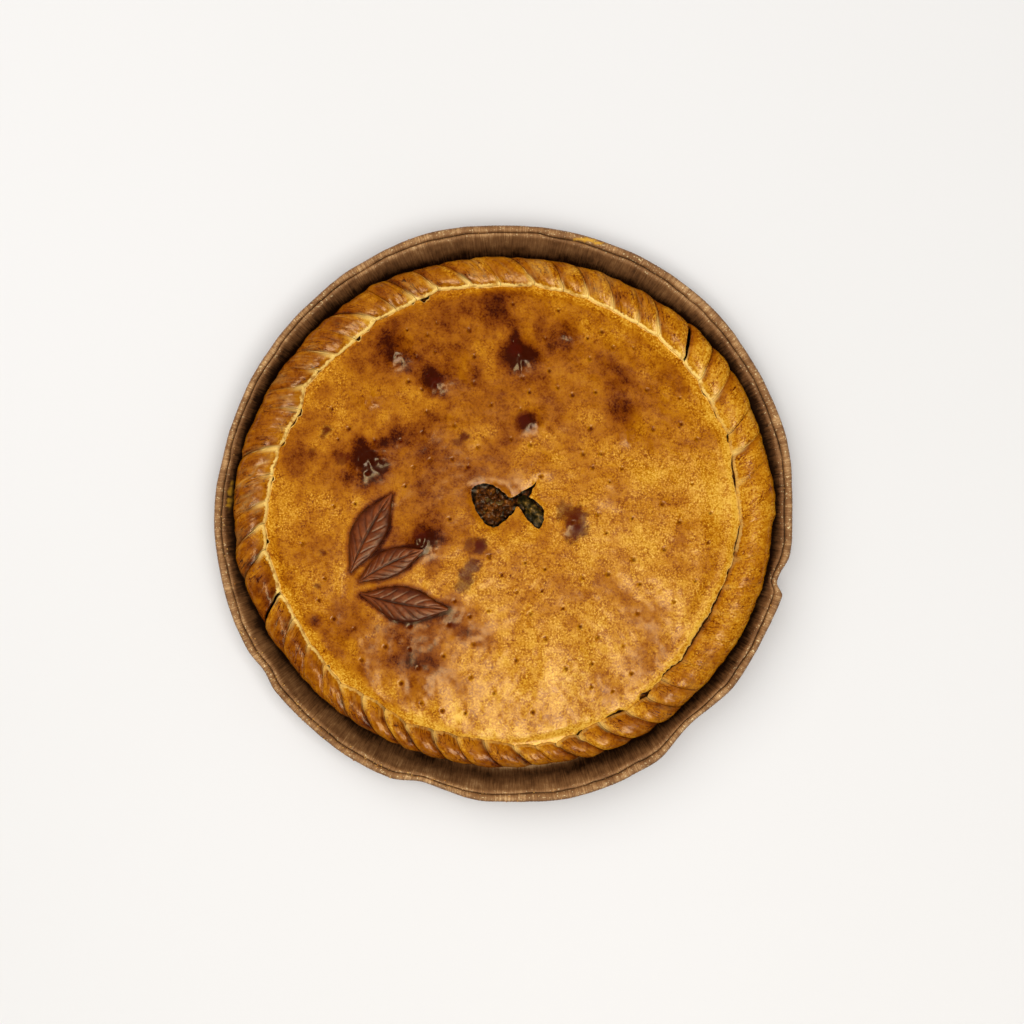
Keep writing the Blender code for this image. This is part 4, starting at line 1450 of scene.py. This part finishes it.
def leaf_press(along, across):
    """Depth of the pressed lines: the midrib, and side veins that sweep forward from it."""
    midrib = MIDRIB_DEPTH * np.exp(-((across / 0.07) ** 2)) * (1 - ramp(along, 0.85, 1))
    phase = (along * VEINS - 1.9 * np.abs(across)) % 1
    veins = VEIN_DEPTH * np.exp(-(((phase - 0.5) / 0.09) ** 2))
    veins = veins * ramp(np.abs(across), 0.05, 0.2) * (1 - ramp(np.abs(across), 0.7, 0.95))
    return midrib + veins * ramp(along, 0.06, 0.15) * (1 - ramp(along, 0.85, 0.95))


def make_leaf(number, direction, length, width):
    """A leaf as rings round its length: each ring goes over the top and back along the underside."""
    heading = np.array([math.cos(math.radians(direction)), math.sin(math.radians(direction))])
    side = np.array([-heading[1], heading[0]])
    along = np.linspace(0, 1, LEAF_RINGS)[:, None]
    turn = np.linspace(0, TURN, LEAF_COLUMNS, endpoint=False)[None, :]
    across = np.cos(turn) * (1 + 0.12 * np.cos(turn) ** 2) / 1.12
    upper = np.sin(turn) >= 0
    half = leaf_outline(along, width) * (1 + 0.05 * hills(along * 9, across + 5, 1, 180 + number))
    flat = LEAF_STALK + (LEAF_START + along * length)[..., None] * heading
    flat = flat + (across * half + leaf_sway(along, direction))[..., None] * side
    edge = np.sqrt(np.clip(1 - across**4, 0, 1))
    body = LEAF_THICKNESS * edge * (0.55 + 0.45 * np.sin(np.pi * np.clip(along, 0.02, 0.98)) ** 0.4)
    press = leaf_press(along, across) * edge
    texture = 0.08 * hills(flat[..., 0], flat[..., 1], 2.5, 190)
    ground = smooth_lid(flat[..., 0], flat[..., 1]) + LID_HILL_TOP
    lift = np.where(upper, body - press + texture, 0)
    height = ground + LEAF_CLEARANCE + lift
    rings = np.concatenate([flat, height[..., None]], axis=-1)
    leaf = ring_solid(f"glazed_leaf_{number}", rings)
    settle(leaf, "leaf_pastry", f"pastry_leaf_{number}")
    dark = np.where(upper, 0.25 * np.abs(across) ** 3 + 0.5 * press, 0.3)
    poles = [0.3, 0.3]
    paint(leaf, "bake", np.concatenate([(0.62 + dark + 0 * along).ravel(), poles]))
    return leaf


leaves = [make_leaf(n, *facts) for n, facts in enumerate(LEAVES, 1)]

# %% [markdown]
# ## Crumbs on the case
#
# Dry crumbs of crust have fallen into the case, most of them at the lower left. They lie on the sloping
# wall and on the rim, and each is less than a millimetre across.

# %% Crumbs on the case
CRUMBS = 260


def crumb_places():
    """Random places on the inside of the wall and on the rim, thickest round 235 degrees."""
    draw = np.random.default_rng(200)
    angle = np.radians(np.concatenate([
        draw.normal(236, 26, CRUMBS * 3 // 4), draw.uniform(0, 360, CRUMBS // 4),
    ]))
    station = draw.uniform(0.42, 0.97, len(angle)) * (len(inside) - 1)
    index = np.arange(len(inside))
    radius, height = (np.interp(station, index, axis) for axis in inside.T)
    radius = radius + outline_weight(radius, height) * case_bulge(angle) - 0.1
    centres = np.column_stack([radius * np.cos(angle), radius * np.sin(angle), height + 0.25])
    return centres, draw.uniform(0.16, 0.5, len(angle))


crumbs = scatter("crust_crumbs", *crumb_places(), 201, rings=3, columns=5)
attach(crumbs, "root")
report(crumbs)

# %% [markdown]
# ## Building materials from nodes
#
# Every material is a small graph. The helper below makes one node, sets its properties, and fills its
# inputs: a socket is linked, and anything else becomes the input's own value. That keeps each material
# readable from top to bottom.

# %% Node helpers
def node(tree, kind, inputs=None, **settings):
    """A new node of a kind. inputs maps an input's name or number to a socket or to a value."""
    made = tree.nodes.new(kind)
    for name, value in settings.items():
        setattr(made, name, value)
    for name, value in (inputs or {}).items():
        if isinstance(value, bpy.types.NodeSocket):
            tree.links.new(value, made.inputs[name])
        else:
            made.inputs[name].default_value = value
    return made


def noise(tree, place, scale, detail=2.0, roughness=0.5, distortion=0.0):
    """The height of a noise texture, with its scale in cells a metre."""
    inputs = {"Vector": place, "Scale": scale, "Detail": detail,
              "Roughness": roughness, "Distortion": distortion}
    return node(tree, "ShaderNodeTexNoise", inputs).outputs["Fac"]


def step(tree, value, low, high, to_low=0.0, to_high=1.0):
    """A smooth step from one value to another."""
    inputs = {"Value": value, "From Min": low, "From Max": high, "To Min": to_low, "To Max": to_high}
    made = node(tree, "ShaderNodeMapRange", inputs, interpolation_type="SMOOTHSTEP")
    return made.outputs["Result"]


def calc(tree, operation, first, second=0.0, third=0.0):
    """One sum on two or three numbers."""
    made = node(tree, "ShaderNodeMath", {0: first, 1: second, 2: third}, operation=operation)
    return made.outputs["Value"]


def linear(red, green, blue, alpha=1.0):
    """A colour given as the screen shows it, 0 to 255, as the linear light that shaders work in."""
    shares = [c / 255 for c in (red, green, blue)]
    return tuple(c / 12.92 if c <= 0.04045 else ((c + 0.055) / 1.055) ** 2.4 for c in shares) + (alpha,)


def mix(tree, share, first, second, blend="MIX"):
    """Two colours mixed by a share."""
    made = node(tree, "ShaderNodeMix", {0: share}, data_type="RGBA", blend_type=blend)
    for index, value in ((6, first), (7, second)):
        if isinstance(value, bpy.types.NodeSocket):
            tree.links.new(value, made.inputs[index])
        else:
            made.inputs[index].default_value = value
    return made.outputs[2]


def colours(tree, value, *stops):
    """A ramp of colours: each stop is a place from 0 to 1 and a colour."""
    ramp_node = node(tree, "ShaderNodeValToRGB", {"Fac": value})
    elements = ramp_node.color_ramp.elements
    while len(elements) < len(stops):
        elements.new(1.0)
    # Blender sorts the stops by their places, so all places are set before the first colour
    for element, (place, _) in zip(elements, stops):
        element.position = place
    for element, (_, colour) in zip(elements, stops):
        element.color = colour
    return ramp_node.outputs["Color"]


def new_material(name, **sockets):
    """A material with one Principled BSDF, whose plain values are set on its own sockets."""
    material = bpy.data.materials.new(name)
    material.use_nodes = True
    tree = material.node_tree
    shader = tree.nodes["Principled BSDF"]
    for socket, value in sockets.items():
        shader.inputs[socket.replace("_", " ")].default_value = value
    return material, tree, shader


def attribute(tree, name):
    """A number stored on the piece's points."""
    return node(tree, "ShaderNodeAttribute", attribute_name=name).outputs["Fac"]


def object_place(tree):
    """The place of each point on its own piece, in metres."""
    return node(tree, "ShaderNodeTexCoord").outputs["Object"]


def stretched_place(tree, place, scale):
    """A place multiplied by a scale for each direction, so that noise on it is drawn out."""
    return node(tree, "ShaderNodeMapping", {"Vector": place, "Scale": scale}).outputs["Vector"]


# %% [markdown]
# ## A group for baked dough
#
# The lid, the rope and the leaves were browned by the same oven, so they share one node group. It takes a
# place and how far the dough is baked, and adds what heat does: light and dark freckles about a millimetre
# across, stronger in clouds some 4 mm wide and on pale dough, swarms of brown specks, and slow drifts over
# centimetres. It puts out the tone, which each material turns into colours of its own, and the height of
# the fine grain for its Bump node.

# %% Baked dough group
def make_baked_group():
    """Inputs: Place, Bake, Freckles. Outputs: Tone and Grain."""
    group = bpy.data.node_groups.new("baked dough", "ShaderNodeTree")
    face = group.interface
    face.new_socket("Place", in_out="INPUT", socket_type="NodeSocketVector")
    for name in ("Bake", "Freckles"):
        face.new_socket(name, in_out="INPUT", socket_type="NodeSocketFloat")
    for name in ("Tone", "Grain"):
        face.new_socket(name, in_out="OUTPUT", socket_type="NodeSocketFloat")
    given = group.nodes.new("NodeGroupInput").outputs
    place = given["Place"]
    stipple = calc(group, "SUBTRACT", noise(group, place, 850, 1.5, 0.65), 0.5)
    cloud = step(group, noise(group, place, 230, 3.0, 0.6), 0.34, 0.66, -0.5, 0.5)
    drift = calc(group, "SUBTRACT", noise(group, place, 48, 2.0, 0.5), 0.5)
    calm = step(group, given["Bake"], 0.36, 0.56, 1.0, 0.3)
    crowd = calc(group, "MULTIPLY", stipple, calc(group, "MULTIPLY_ADD", cloud, 0.9, 1.0))
    crowd = calc(group, "MULTIPLY", calc(group, "MULTIPLY", crowd, calm), given["Freckles"])
    crowd = calc(group, "MINIMUM", crowd, 0.17)
    specks = step(group, noise(group, place, 640, 1.0, 0.5), 0.58, 0.66)
    swarm = step(group, noise(group, place, 75, 1.0, 0.5), 0.42, 0.6, 0.0, 0.2)
    swarm = calc(group, "MULTIPLY", swarm, calm)
    tone = calc(group, "ADD", given["Bake"], crowd)
    tone = calc(group, "MULTIPLY_ADD", specks, swarm, tone)
    tone = calc(group, "MULTIPLY_ADD", cloud, 0.16, tone)
    tone = calc(group, "MULTIPLY_ADD", drift, 0.22, tone)
    fine_grain = noise(group, place, 1500, 2.0, 0.6)
    pores = noise(group, place, 520, 2.0, 0.5)
    grain = calc(group, "MULTIPLY", fine_grain, 0.45)
    grain = calc(group, "ADD", grain, calc(group, "MULTIPLY", pores, 0.55))
    out = group.nodes.new("NodeGroupOutput").inputs
    group.links.new(tone, out["Tone"])
    group.links.new(grain, out["Grain"])
    return group


baked_group = make_baked_group()
print("baked dough:", len(baked_group.nodes), "nodes")


def baked(tree, bake, freckles):
    """The baked dough group placed in a material: its tone and its grain."""
    made = node(tree, "ShaderNodeGroup", node_tree=baked_group)
    tree.links.new(object_place(tree), made.inputs["Place"])
    tree.links.new(bake, made.inputs["Bake"])
    made.inputs["Freckles"].default_value = freckles
    return made.outputs["Tone"], made.outputs["Grain"]


def bump_normal(tree, height, strength, distance):
    """A normal tilted by a height, where distance is the relief in metres."""
    inputs = {"Height": height, "Strength": strength, "Distance": distance}
    return node(tree, "ShaderNodeBump", inputs).outputs["Normal"]


# %% [markdown]
# ## A group for stretched dough
#
# The cream-coloured line along the seam lies half on the lid and half on the rope, so both need it. The
# group takes the stored distances and strengths, frays the distances with noise, and puts out two masks:
# where the dough is the colour of cream, and painted shade where a strand's lip overhangs its neighbour.

# %% Stretched dough group
def make_stretched_group():
    """Inputs: Place, Shore, Bank, Crease, Line, Before. Outputs: Cream, and painted shade in the folds."""
    group = bpy.data.node_groups.new("stretched dough", "ShaderNodeTree")
    face = group.interface
    face.new_socket("Place", in_out="INPUT", socket_type="NodeSocketVector")
    for name, value in (("Shore", 8), ("Bank", 0), ("Crease", 3), ("Line", 0), ("Before", 0)):
        face.new_socket(name, in_out="INPUT", socket_type="NodeSocketFloat").default_value = value
    for name in ("Cream", "FoldShade"):
        face.new_socket(name, in_out="OUTPUT", socket_type="NodeSocketFloat")
    given = group.nodes.new("NodeGroupInput").outputs
    frayed = calc(group, "SUBTRACT", noise(group, given["Place"], 620, 2.0, 0.6), 0.5)
    patchy = step(group, noise(group, given["Place"], 240, 1.0, 0.5), 0.32, 0.52, 0.3, 1.0)
    shore = calc(group, "MULTIPLY_ADD", frayed, 3.0, given["Shore"])
    bank = calc(group, "MULTIPLY", step(group, shore, 0.9, 2.0, 1.0, 0.0), given["Bank"])
    bank = calc(group, "MULTIPLY", bank, patchy)
    crease = calc(group, "MULTIPLY_ADD", frayed, 1.2, given["Crease"])
    line = calc(group, "MULTIPLY", step(group, crease, 0.2, 0.7, 1.0, 0.0), given["Line"])
    line = calc(group, "MULTIPLY", line, patchy)
    # Painted shade just before each groove, where the next strand's lip overhangs
    near = step(group, crease, 0.2, 1.1, 1.0, 0.0)
    fold_shade = calc(group, "MULTIPLY", near, step(group, given["Before"], 0.02, 0.2))
    out = group.nodes.new("NodeGroupOutput").inputs
    group.links.new(calc(group, "MAXIMUM", bank, line), out["Cream"])
    group.links.new(fold_shade, out["FoldShade"])
    return group


stretched_group = make_stretched_group()
print("stretched dough:", len(stretched_group.nodes), "nodes")


def stretched(tree, **stored):
    """The group in a material, with numbers stored on the piece linked to the inputs of those names."""
    made = node(tree, "ShaderNodeGroup", node_tree=stretched_group)
    tree.links.new(object_place(tree), made.inputs["Place"])
    for name, attribute_name in stored.items():
        tree.links.new(attribute(tree, attribute_name), made.inputs[name])
    return made.outputs["Cream"], made.outputs["FoldShade"]


# %% [markdown]
# ## Crust
#
# The colours of the ramp go from pale dough over gold and orange brown to nearly black. Egg wash leaves a
# thin, half-glossy glaze, tight enough for a lamp to show only on flanks that face it, and a touch tighter
# where the dough is browner. Cream, scorched places, and painted shade in folds, slits and fork holes are
# mixed in from the numbers stored on the points. The rope has fine wrinkles and thin creases too, drawn out
# along its strands, painted paler on the wrinkles' crests and darker in the creases as painted light and
# shade.

# %% Crust materials
CRUST_STOPS = (
    (0.0, linear(226, 174, 62)),
    (0.15, linear(208, 148, 36)),
    (0.35, linear(184, 117, 9)),
    (0.5, linear(162, 94, 3)),
    (0.65, linear(138, 72, 2)),
    (0.8, linear(110, 49, 1)),
    (0.92, linear(80, 29, 1)),
    (1.0, linear(56, 15, 2)),
)
CREAM = linear(250, 212, 118)
# Colour of the painted shade in the folds
FOLD_SHADE = linear(60, 25, 2)
SCORCH = linear(74, 14, 2)
# Nearly black painted shade inside the rope's slits
CLEFT_SHADE = linear(18, 6, 1)
# Stretching of the UV map for the rope's wrinkles and creases: cells a metre along the rope and across it
WRINKLE_CELLS = (620, 70, 1)
CREASE_CELLS = (300, 75, 1)
GLAZE_ROUGHNESS = (0.24, 0.2)


def crust_material(name, freckles, relief, wrinkles, lines, burnt, **sockets):
    """Baked dough with cream, burnt places and painted shade, and wrinkles that follow the UV map's v."""
    material, tree, shader = new_material(name, **sockets)
    tone, grain = baked(tree, attribute(tree, "bake"), freckles)
    if wrinkles:
        layout = node(tree, "ShaderNodeUVMap", uv_map="along").outputs["UV"]
        drawn_out = stretched_place(tree, layout, WRINKLE_CELLS)
        ripples = calc(tree, "SUBTRACT", noise(tree, drawn_out, 1.0, 2.5, 0.6, 0.4), 0.5)
        folded = stretched_place(tree, layout, CREASE_CELLS)
        level = calc(tree, "SUBTRACT", noise(tree, folded, 1.0, 2.0, 0.6, 0.8), 0.5)
        creased = step(tree, calc(tree, "ABSOLUTE", level), 0.004, 0.022, 1.0, 0.0)
        some_places = step(tree, noise(tree, layout, 90, 1.0, 0.5), 0.42, 0.6)
        creased = calc(tree, "MULTIPLY", creased, some_places)
        grain = calc(tree, "MULTIPLY_ADD", ripples, wrinkles, grain)
        grain = calc(tree, "MULTIPLY_ADD", creased, -0.8, grain)
        # Painted light and shade: paler on the ripples' crests, darker in the creases
        tone = calc(tree, "MULTIPLY_ADD", ripples, -0.35, tone)
        tone = calc(tree, "MULTIPLY_ADD", creased, 0.34, tone)
    cream, fold = stretched(tree, **lines)
    colour = colours(tree, tone, *CRUST_STOPS)
    colour = mix(tree, calc(tree, "MAXIMUM", cream, attribute(tree, "cream")), colour, CREAM)
    # Painted shade in the folds before the grooves
    colour = mix(tree, calc(tree, "MULTIPLY", fold, 0.85), colour, FOLD_SHADE)
    # Scorched spots and the fork holes' painted shade on the lid, painted shade in the rope's slits
    colour = mix(tree, attribute(tree, "scorch_and_shade"), colour, burnt)
    tree.links.new(colour, shader.inputs["Base Color"])
    tree.links.new(bump_normal(tree, grain, 0.6, relief), shader.inputs["Normal"])
    rough = step(tree, tone, 0.1, 0.9, *GLAZE_ROUGHNESS)
    tree.links.new(rough, shader.inputs["Roughness"])
    return material


GLAZE = {"Specular_IOR_Level": 0.36}
SEAM_LINES = {"Shore": "shore", "Bank": "bank"}
ROPE_LINES = {"Crease": "crease", "Line": "line", "Before": "before", **SEAM_LINES}
# After each name come the strength of the freckles, the relief in metres and the strength of wrinkles
lid_finish = crust_material("egg washed lid", 1.35, 0.0001, 0, SEAM_LINES, SCORCH, **GLAZE)
lid.data.materials.append(lid_finish)
rope_finish = crust_material("folded rope", 1.1, 0.0002, 1.1, ROPE_LINES, CLEFT_SHADE, **GLAZE)
rope.data.materials.append(rope_finish)
for finish in (lid_finish, rope_finish):
    print(finish.name, "has", len(finish.node_tree.nodes), "nodes")
settle(lid, "lid_crust", "lid")

# %% [markdown]
# The leaves were washed with egg twice, and came out dark red brown and glossy. The crumbs are bare crust.

# %% Leaves and crumbs
LEAF_STOPS = (
    (0.0, linear(176, 96, 22)),
    (0.45, linear(130, 60, 10)),
    (0.75, linear(86, 34, 5)),
    (1.0, linear(44, 12, 4)),
)
material, tree, shader = new_material("glazed leaf", Specular_IOR_Level=0.4, Roughness=0.34)
tone, grain = baked(tree, attribute(tree, "bake"), 0.6)
tree.links.new(colours(tree, tone, *LEAF_STOPS), shader.inputs["Base Color"])
tree.links.new(bump_normal(tree, grain, 0.4, 0.0002), shader.inputs["Normal"])
for leaf in leaves:
    leaf.data.materials.append(material)
print(material.name, "has", len(tree.nodes), "nodes")

material, tree, shader = new_material("dry crumb", Roughness=0.8)
tint = noise(tree, object_place(tree), 300)
colour = colours(tree, tint, (0.35, linear(226, 178, 96)), (0.65, linear(176, 110, 40)))
tree.links.new(colour, shader.inputs["Base Color"])
crumbs.data.materials.append(material)

# %% [markdown]
# ## Filling
#
# Cooked meat is dark and moist, with paler and redder grains in it. Green pepper keeps a shiny skin, and
# onion turns clear, so a little light passes through it. Meat and pepper are painted nearly black along the
# vent's edge, as painted shade where the torn lid overhangs them.

# %% Filling materials
MEAT_STOPS = (
    (0.34, linear(22, 8, 2)),
    (0.46, linear(62, 28, 6)),
    (0.56, linear(104, 56, 12)),
    (0.68, linear(160, 96, 30)),
)
PEPPER_STOPS = (
    (0.38, linear(16, 13, 2)),
    (0.5, linear(44, 33, 5)),
    (0.6, linear(90, 64, 16)),
    (0.72, linear(150, 112, 46)),
)
ONION_STOPS = ((0.3, linear(58, 32, 8)), (0.7, linear(118, 80, 26)))
# Nearly black colours of painted shade along the vent's edge
MEAT_SHADE = linear(14, 6, 2)
PEPPER_SHADE = linear(10, 8, 2)

material, tree, shader = new_material("cooked meat", Specular_IOR_Level=0.3, Roughness=0.3)
place = object_place(tree)
lumpy = calc(tree, "MULTIPLY", noise(tree, place, 260, 3.0, 0.6), 0.6)
lumpy = calc(tree, "MULTIPLY_ADD", noise(tree, place, 900, 2.0, 0.5), 0.4, lumpy)
# Painted shade where the torn lid overhangs the meat
colour = mix(tree, attribute(tree, "vent_shade"), colours(tree, lumpy, *MEAT_STOPS), MEAT_SHADE)
tree.links.new(colour, shader.inputs["Base Color"])
tree.links.new(bump_normal(tree, lumpy, 0.8, 0.0008), shader.inputs["Normal"])
filling.data.materials.append(material)
meat.data.materials.append(material)

material, tree, shader = new_material("green pepper", Specular_IOR_Level=0.25, Roughness=0.3)
place = object_place(tree)
mottle = noise(tree, place, 330, 3.0, 0.65)
# Painted shade where the torn lid overhangs the pepper
colour = mix(tree, attribute(tree, "vent_shade"), colours(tree, mottle, *PEPPER_STOPS), PEPPER_SHADE)
tree.links.new(colour, shader.inputs["Base Color"])
tree.links.new(bump_normal(tree, mottle, 0.7, 0.0012), shader.inputs["Normal"])
for piece in pepper:
    piece.data.materials.append(material)

material, tree, shader = new_material("soft onion", Roughness=0.3, Subsurface_Weight=0.3)
mottle = noise(tree, object_place(tree), 220, 2.0, 0.5)
tree.links.new(colours(tree, mottle, *ONION_STOPS), shader.inputs["Base Color"])
for piece in onion:
    piece.data.materials.append(material)
print("three finishes for", 2 + len(pepper) + len(onion), "pieces of filling")

# %% [markdown]
# ## Baking paper
#
# The paper is brown and matt. Pressing has polished the tops of its pleats, so light streaks run up the
# wall and across the rim, each a little different. The streaks follow the piece's UV map, which runs round
# the case and up the wall in metres, with noise drawn out long in the direction of the pleats.

# %% Paper material
PLEAT_CELLS = (1300, 60, 1)
BUCKLE_CELLS = (330, 90, 1)
# How much each number stored on the case's points adds to the paper's brightness
# The first is painted highlight on the rim's top, the second painted shade next to the pie
PAPER_MARKS = (("edge", 0.07), ("pie_shade", -0.26), ("foot", 0.4))
PAPER_STOPS = (
    (0.32, linear(42, 20, 6)),
    (0.46, linear(110, 71, 38)),
    (0.58, linear(142, 99, 58)),
    (0.7, linear(200, 156, 104)),
)
# Colour of the painted glints on the rim
RIM_GLINT = linear(240, 214, 158)
# Colour of the painted shade in the rim's groove
GUTTER_SHADE = linear(36, 18, 7)
DOUGH_SMEAR = linear(214, 158, 40)
material, tree, shader = new_material("brown baking paper", Specular_IOR_Level=0.35)
layout = node(tree, "ShaderNodeUVMap", uv_map="along").outputs["UV"]
streak = noise(tree, stretched_place(tree, layout, PLEAT_CELLS), 1.0, 3.0, 0.6)
buckled = noise(tree, stretched_place(tree, layout, BUCKLE_CELLS), 1.0, 2.0, 0.6)
place = object_place(tree)
stain = noise(tree, place, 70, 3.0, 0.6)
fibre = noise(tree, place, 1100, 2.0, 0.6)
glint = step(tree, noise(tree, place, 800, 1.0, 0.5), 0.65, 0.7)
value = calc(tree, "MULTIPLY_ADD", streak, 0.36, calc(tree, "MULTIPLY", fibre, 0.1))
value = calc(tree, "MULTIPLY_ADD", buckled, 0.2, value)
value = calc(tree, "MULTIPLY_ADD", stain, 0.38, value)
for name, weight in PAPER_MARKS:
    value = calc(tree, "MULTIPLY_ADD", attribute(tree, name), weight, value)
colour = colours(tree, value, *PAPER_STOPS)
# Painted glints along the top of the rim
spark = calc(tree, "MULTIPLY", glint, attribute(tree, "edge"))
colour = mix(tree, calc(tree, "MULTIPLY", spark, 0.7), colour, RIM_GLINT)
# A thin dark line of painted shade at the bottom of the groove in the rim
frayed = calc(tree, "MULTIPLY_ADD", calc(tree, "SUBTRACT", stain, 0.5), 1.2, attribute(tree, "gutter"))
colour = mix(tree, step(tree, frayed, 0.2, 0.6, 0.85, 0.0), colour, GUTTER_SHADE)
colour = mix(tree, attribute(tree, "smear"), colour, DOUGH_SMEAR)
tree.links.new(colour, shader.inputs["Base Color"])
tree.links.new(bump_normal(tree, value, 0.5, 0.0005), shader.inputs["Normal"])
tree.links.new(step(tree, streak, 0.3, 0.7, 0.72, 0.5), shader.inputs["Roughness"])
case.data.materials.append(material)
print(material.name, "has", len(tree.nodes), "nodes")

# %% [markdown]
# ## Floor, light and camera
#
# The pie stands on a plain white table. The main light is a large soft box high up at the lower right, and
# a weaker one fills in from the upper left. Both light only matt colour. What shines in the glaze are two
# smaller warm boxes below the pie in the picture, one high up and one lower down. Seen only in gloss, they
# keep the highlights on flanks that face them, and spread no haze over the whole lid. The camera hangs
# straight above, 1.6 m over the rim, with a lens that puts 602 mm across the frame there.

# %% Floor
FLOOR_REACH = 4000
FLOOR_GRID = 41


def make_floor():
    """A flat square floor, 4 m from its middle to each side."""
    t = np.linspace(-FLOOR_REACH, FLOOR_REACH, FLOOR_GRID)
    x, y = np.meshgrid(t, t, indexing="ij")
    points = np.stack([x, y, 0 * x], axis=-1).reshape(-1, 3) + MIDDLE
    return make_mesh("floor", points, grid_faces(FLOOR_GRID))


floor = make_floor()
material, tree, shader = new_material("white table", Roughness=0.6)
shade = noise(tree, object_place(tree), 2.0, 1.0)
colour = colours(tree, shade, (0.2, linear(226, 225, 223)), (0.8, linear(229, 228, 227)))
tree.links.new(colour, shader.inputs["Base Color"])
floor.data.materials.append(material)
floor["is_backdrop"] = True
print("floor:", 2 * FLOOR_REACH * MM, "m wide")

# %% Light
WHITE = (1, 1, 1)
AMBER = (1, 0.76, 0.36)
PEACH = (1, 0.8, 0.55)
WARM_WHITE = (1, 0.99, 0.98)


def soft_box(name, azimuth, elevation, distance, size, power, colour, seen_in):
    """A square area light that faces the pie, from a direction in degrees, for "matt" or for "gloss"."""
    light = bpy.data.lights.new(name, "AREA")
    light.shape = "SQUARE"
    light.size, light.energy, light.color = size, power, colour
    lamp = bpy.data.objects.new(name, light)
    a, e = math.radians(azimuth), math.radians(elevation)
    towards = (math.cos(a) * math.cos(e), math.sin(a) * math.cos(e), math.sin(e))
    lamp.location = [distance * c for c in towards]
    lamp.rotation_euler = (math.pi / 2 - e, 0, a + math.pi / 2)
    lamp.visible_diffuse = seen_in == "matt"
    lamp.visible_glossy = seen_in == "gloss"
    bpy.context.scene.collection.objects.link(lamp)


soft_box("key", -48, 77, 2.6, 1.8, 44, WHITE, "matt")
soft_box("gleam", -80, 71, 2.6, 0.7, 18, AMBER, "gloss")
soft_box("spark", -78, 52, 2.6, 0.9, 28, PEACH, "gloss")
soft_box("fill", 140, 55, 2.4, 2.4, 34, WARM_WHITE, "matt")
world = bpy.data.worlds.new("studio")
bpy.context.scene.world = world
world.use_nodes = True
background = world.node_tree.nodes["Background"]
background.inputs["Color"].default_value = (1.0, 0.97, 0.94, 1)
background.inputs["Strength"].default_value = 0.3
world.cycles_visibility.glossy = False
bpy.context.scene.view_settings.view_transform = "Standard"
print("lights:", sorted(light.name for light in bpy.data.lights))

# %% Camera
FRAME_PIXELS = 1024
CAMERA_DISTANCE = 1.6
SENSOR = 36.0
frame_width = FRAME_PIXELS * PIXEL * MM
camera_data = bpy.data.cameras.new("overhead")
camera_data.sensor_width = SENSOR
camera_data.lens = SENSOR * CAMERA_DISTANCE / frame_width
camera = bpy.data.objects.new("overhead", camera_data)
half = FRAME_PIXELS / 2
camera.location = (
    (half - CASE_PIXEL[0]) * PIXEL * MM - MIDDLE[0] * MM,
    (CASE_PIXEL[1] - half) * PIXEL * MM - MIDDLE[1] * MM,
    CAMERA_DISTANCE + CASE_HEIGHT * MM,
)
bpy.context.scene.collection.objects.link(camera)
bpy.context.scene.camera = camera
print("lens:", round(camera_data.lens, 1), "mm")

# %% [markdown]
# ## The two boxes
#
# The dressed pie has to stay in the box of the solids, so both boxes are printed side by side.

# %% Finish
boxes = {
    "solids": [list(corner) for corner in solid_box],
    "dressed": [list(corner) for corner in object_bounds()],
}
for name, corners in boxes.items():
    print(name, "in mm:", [[round(c / MM, 1) for c in corner] for corner in corners])
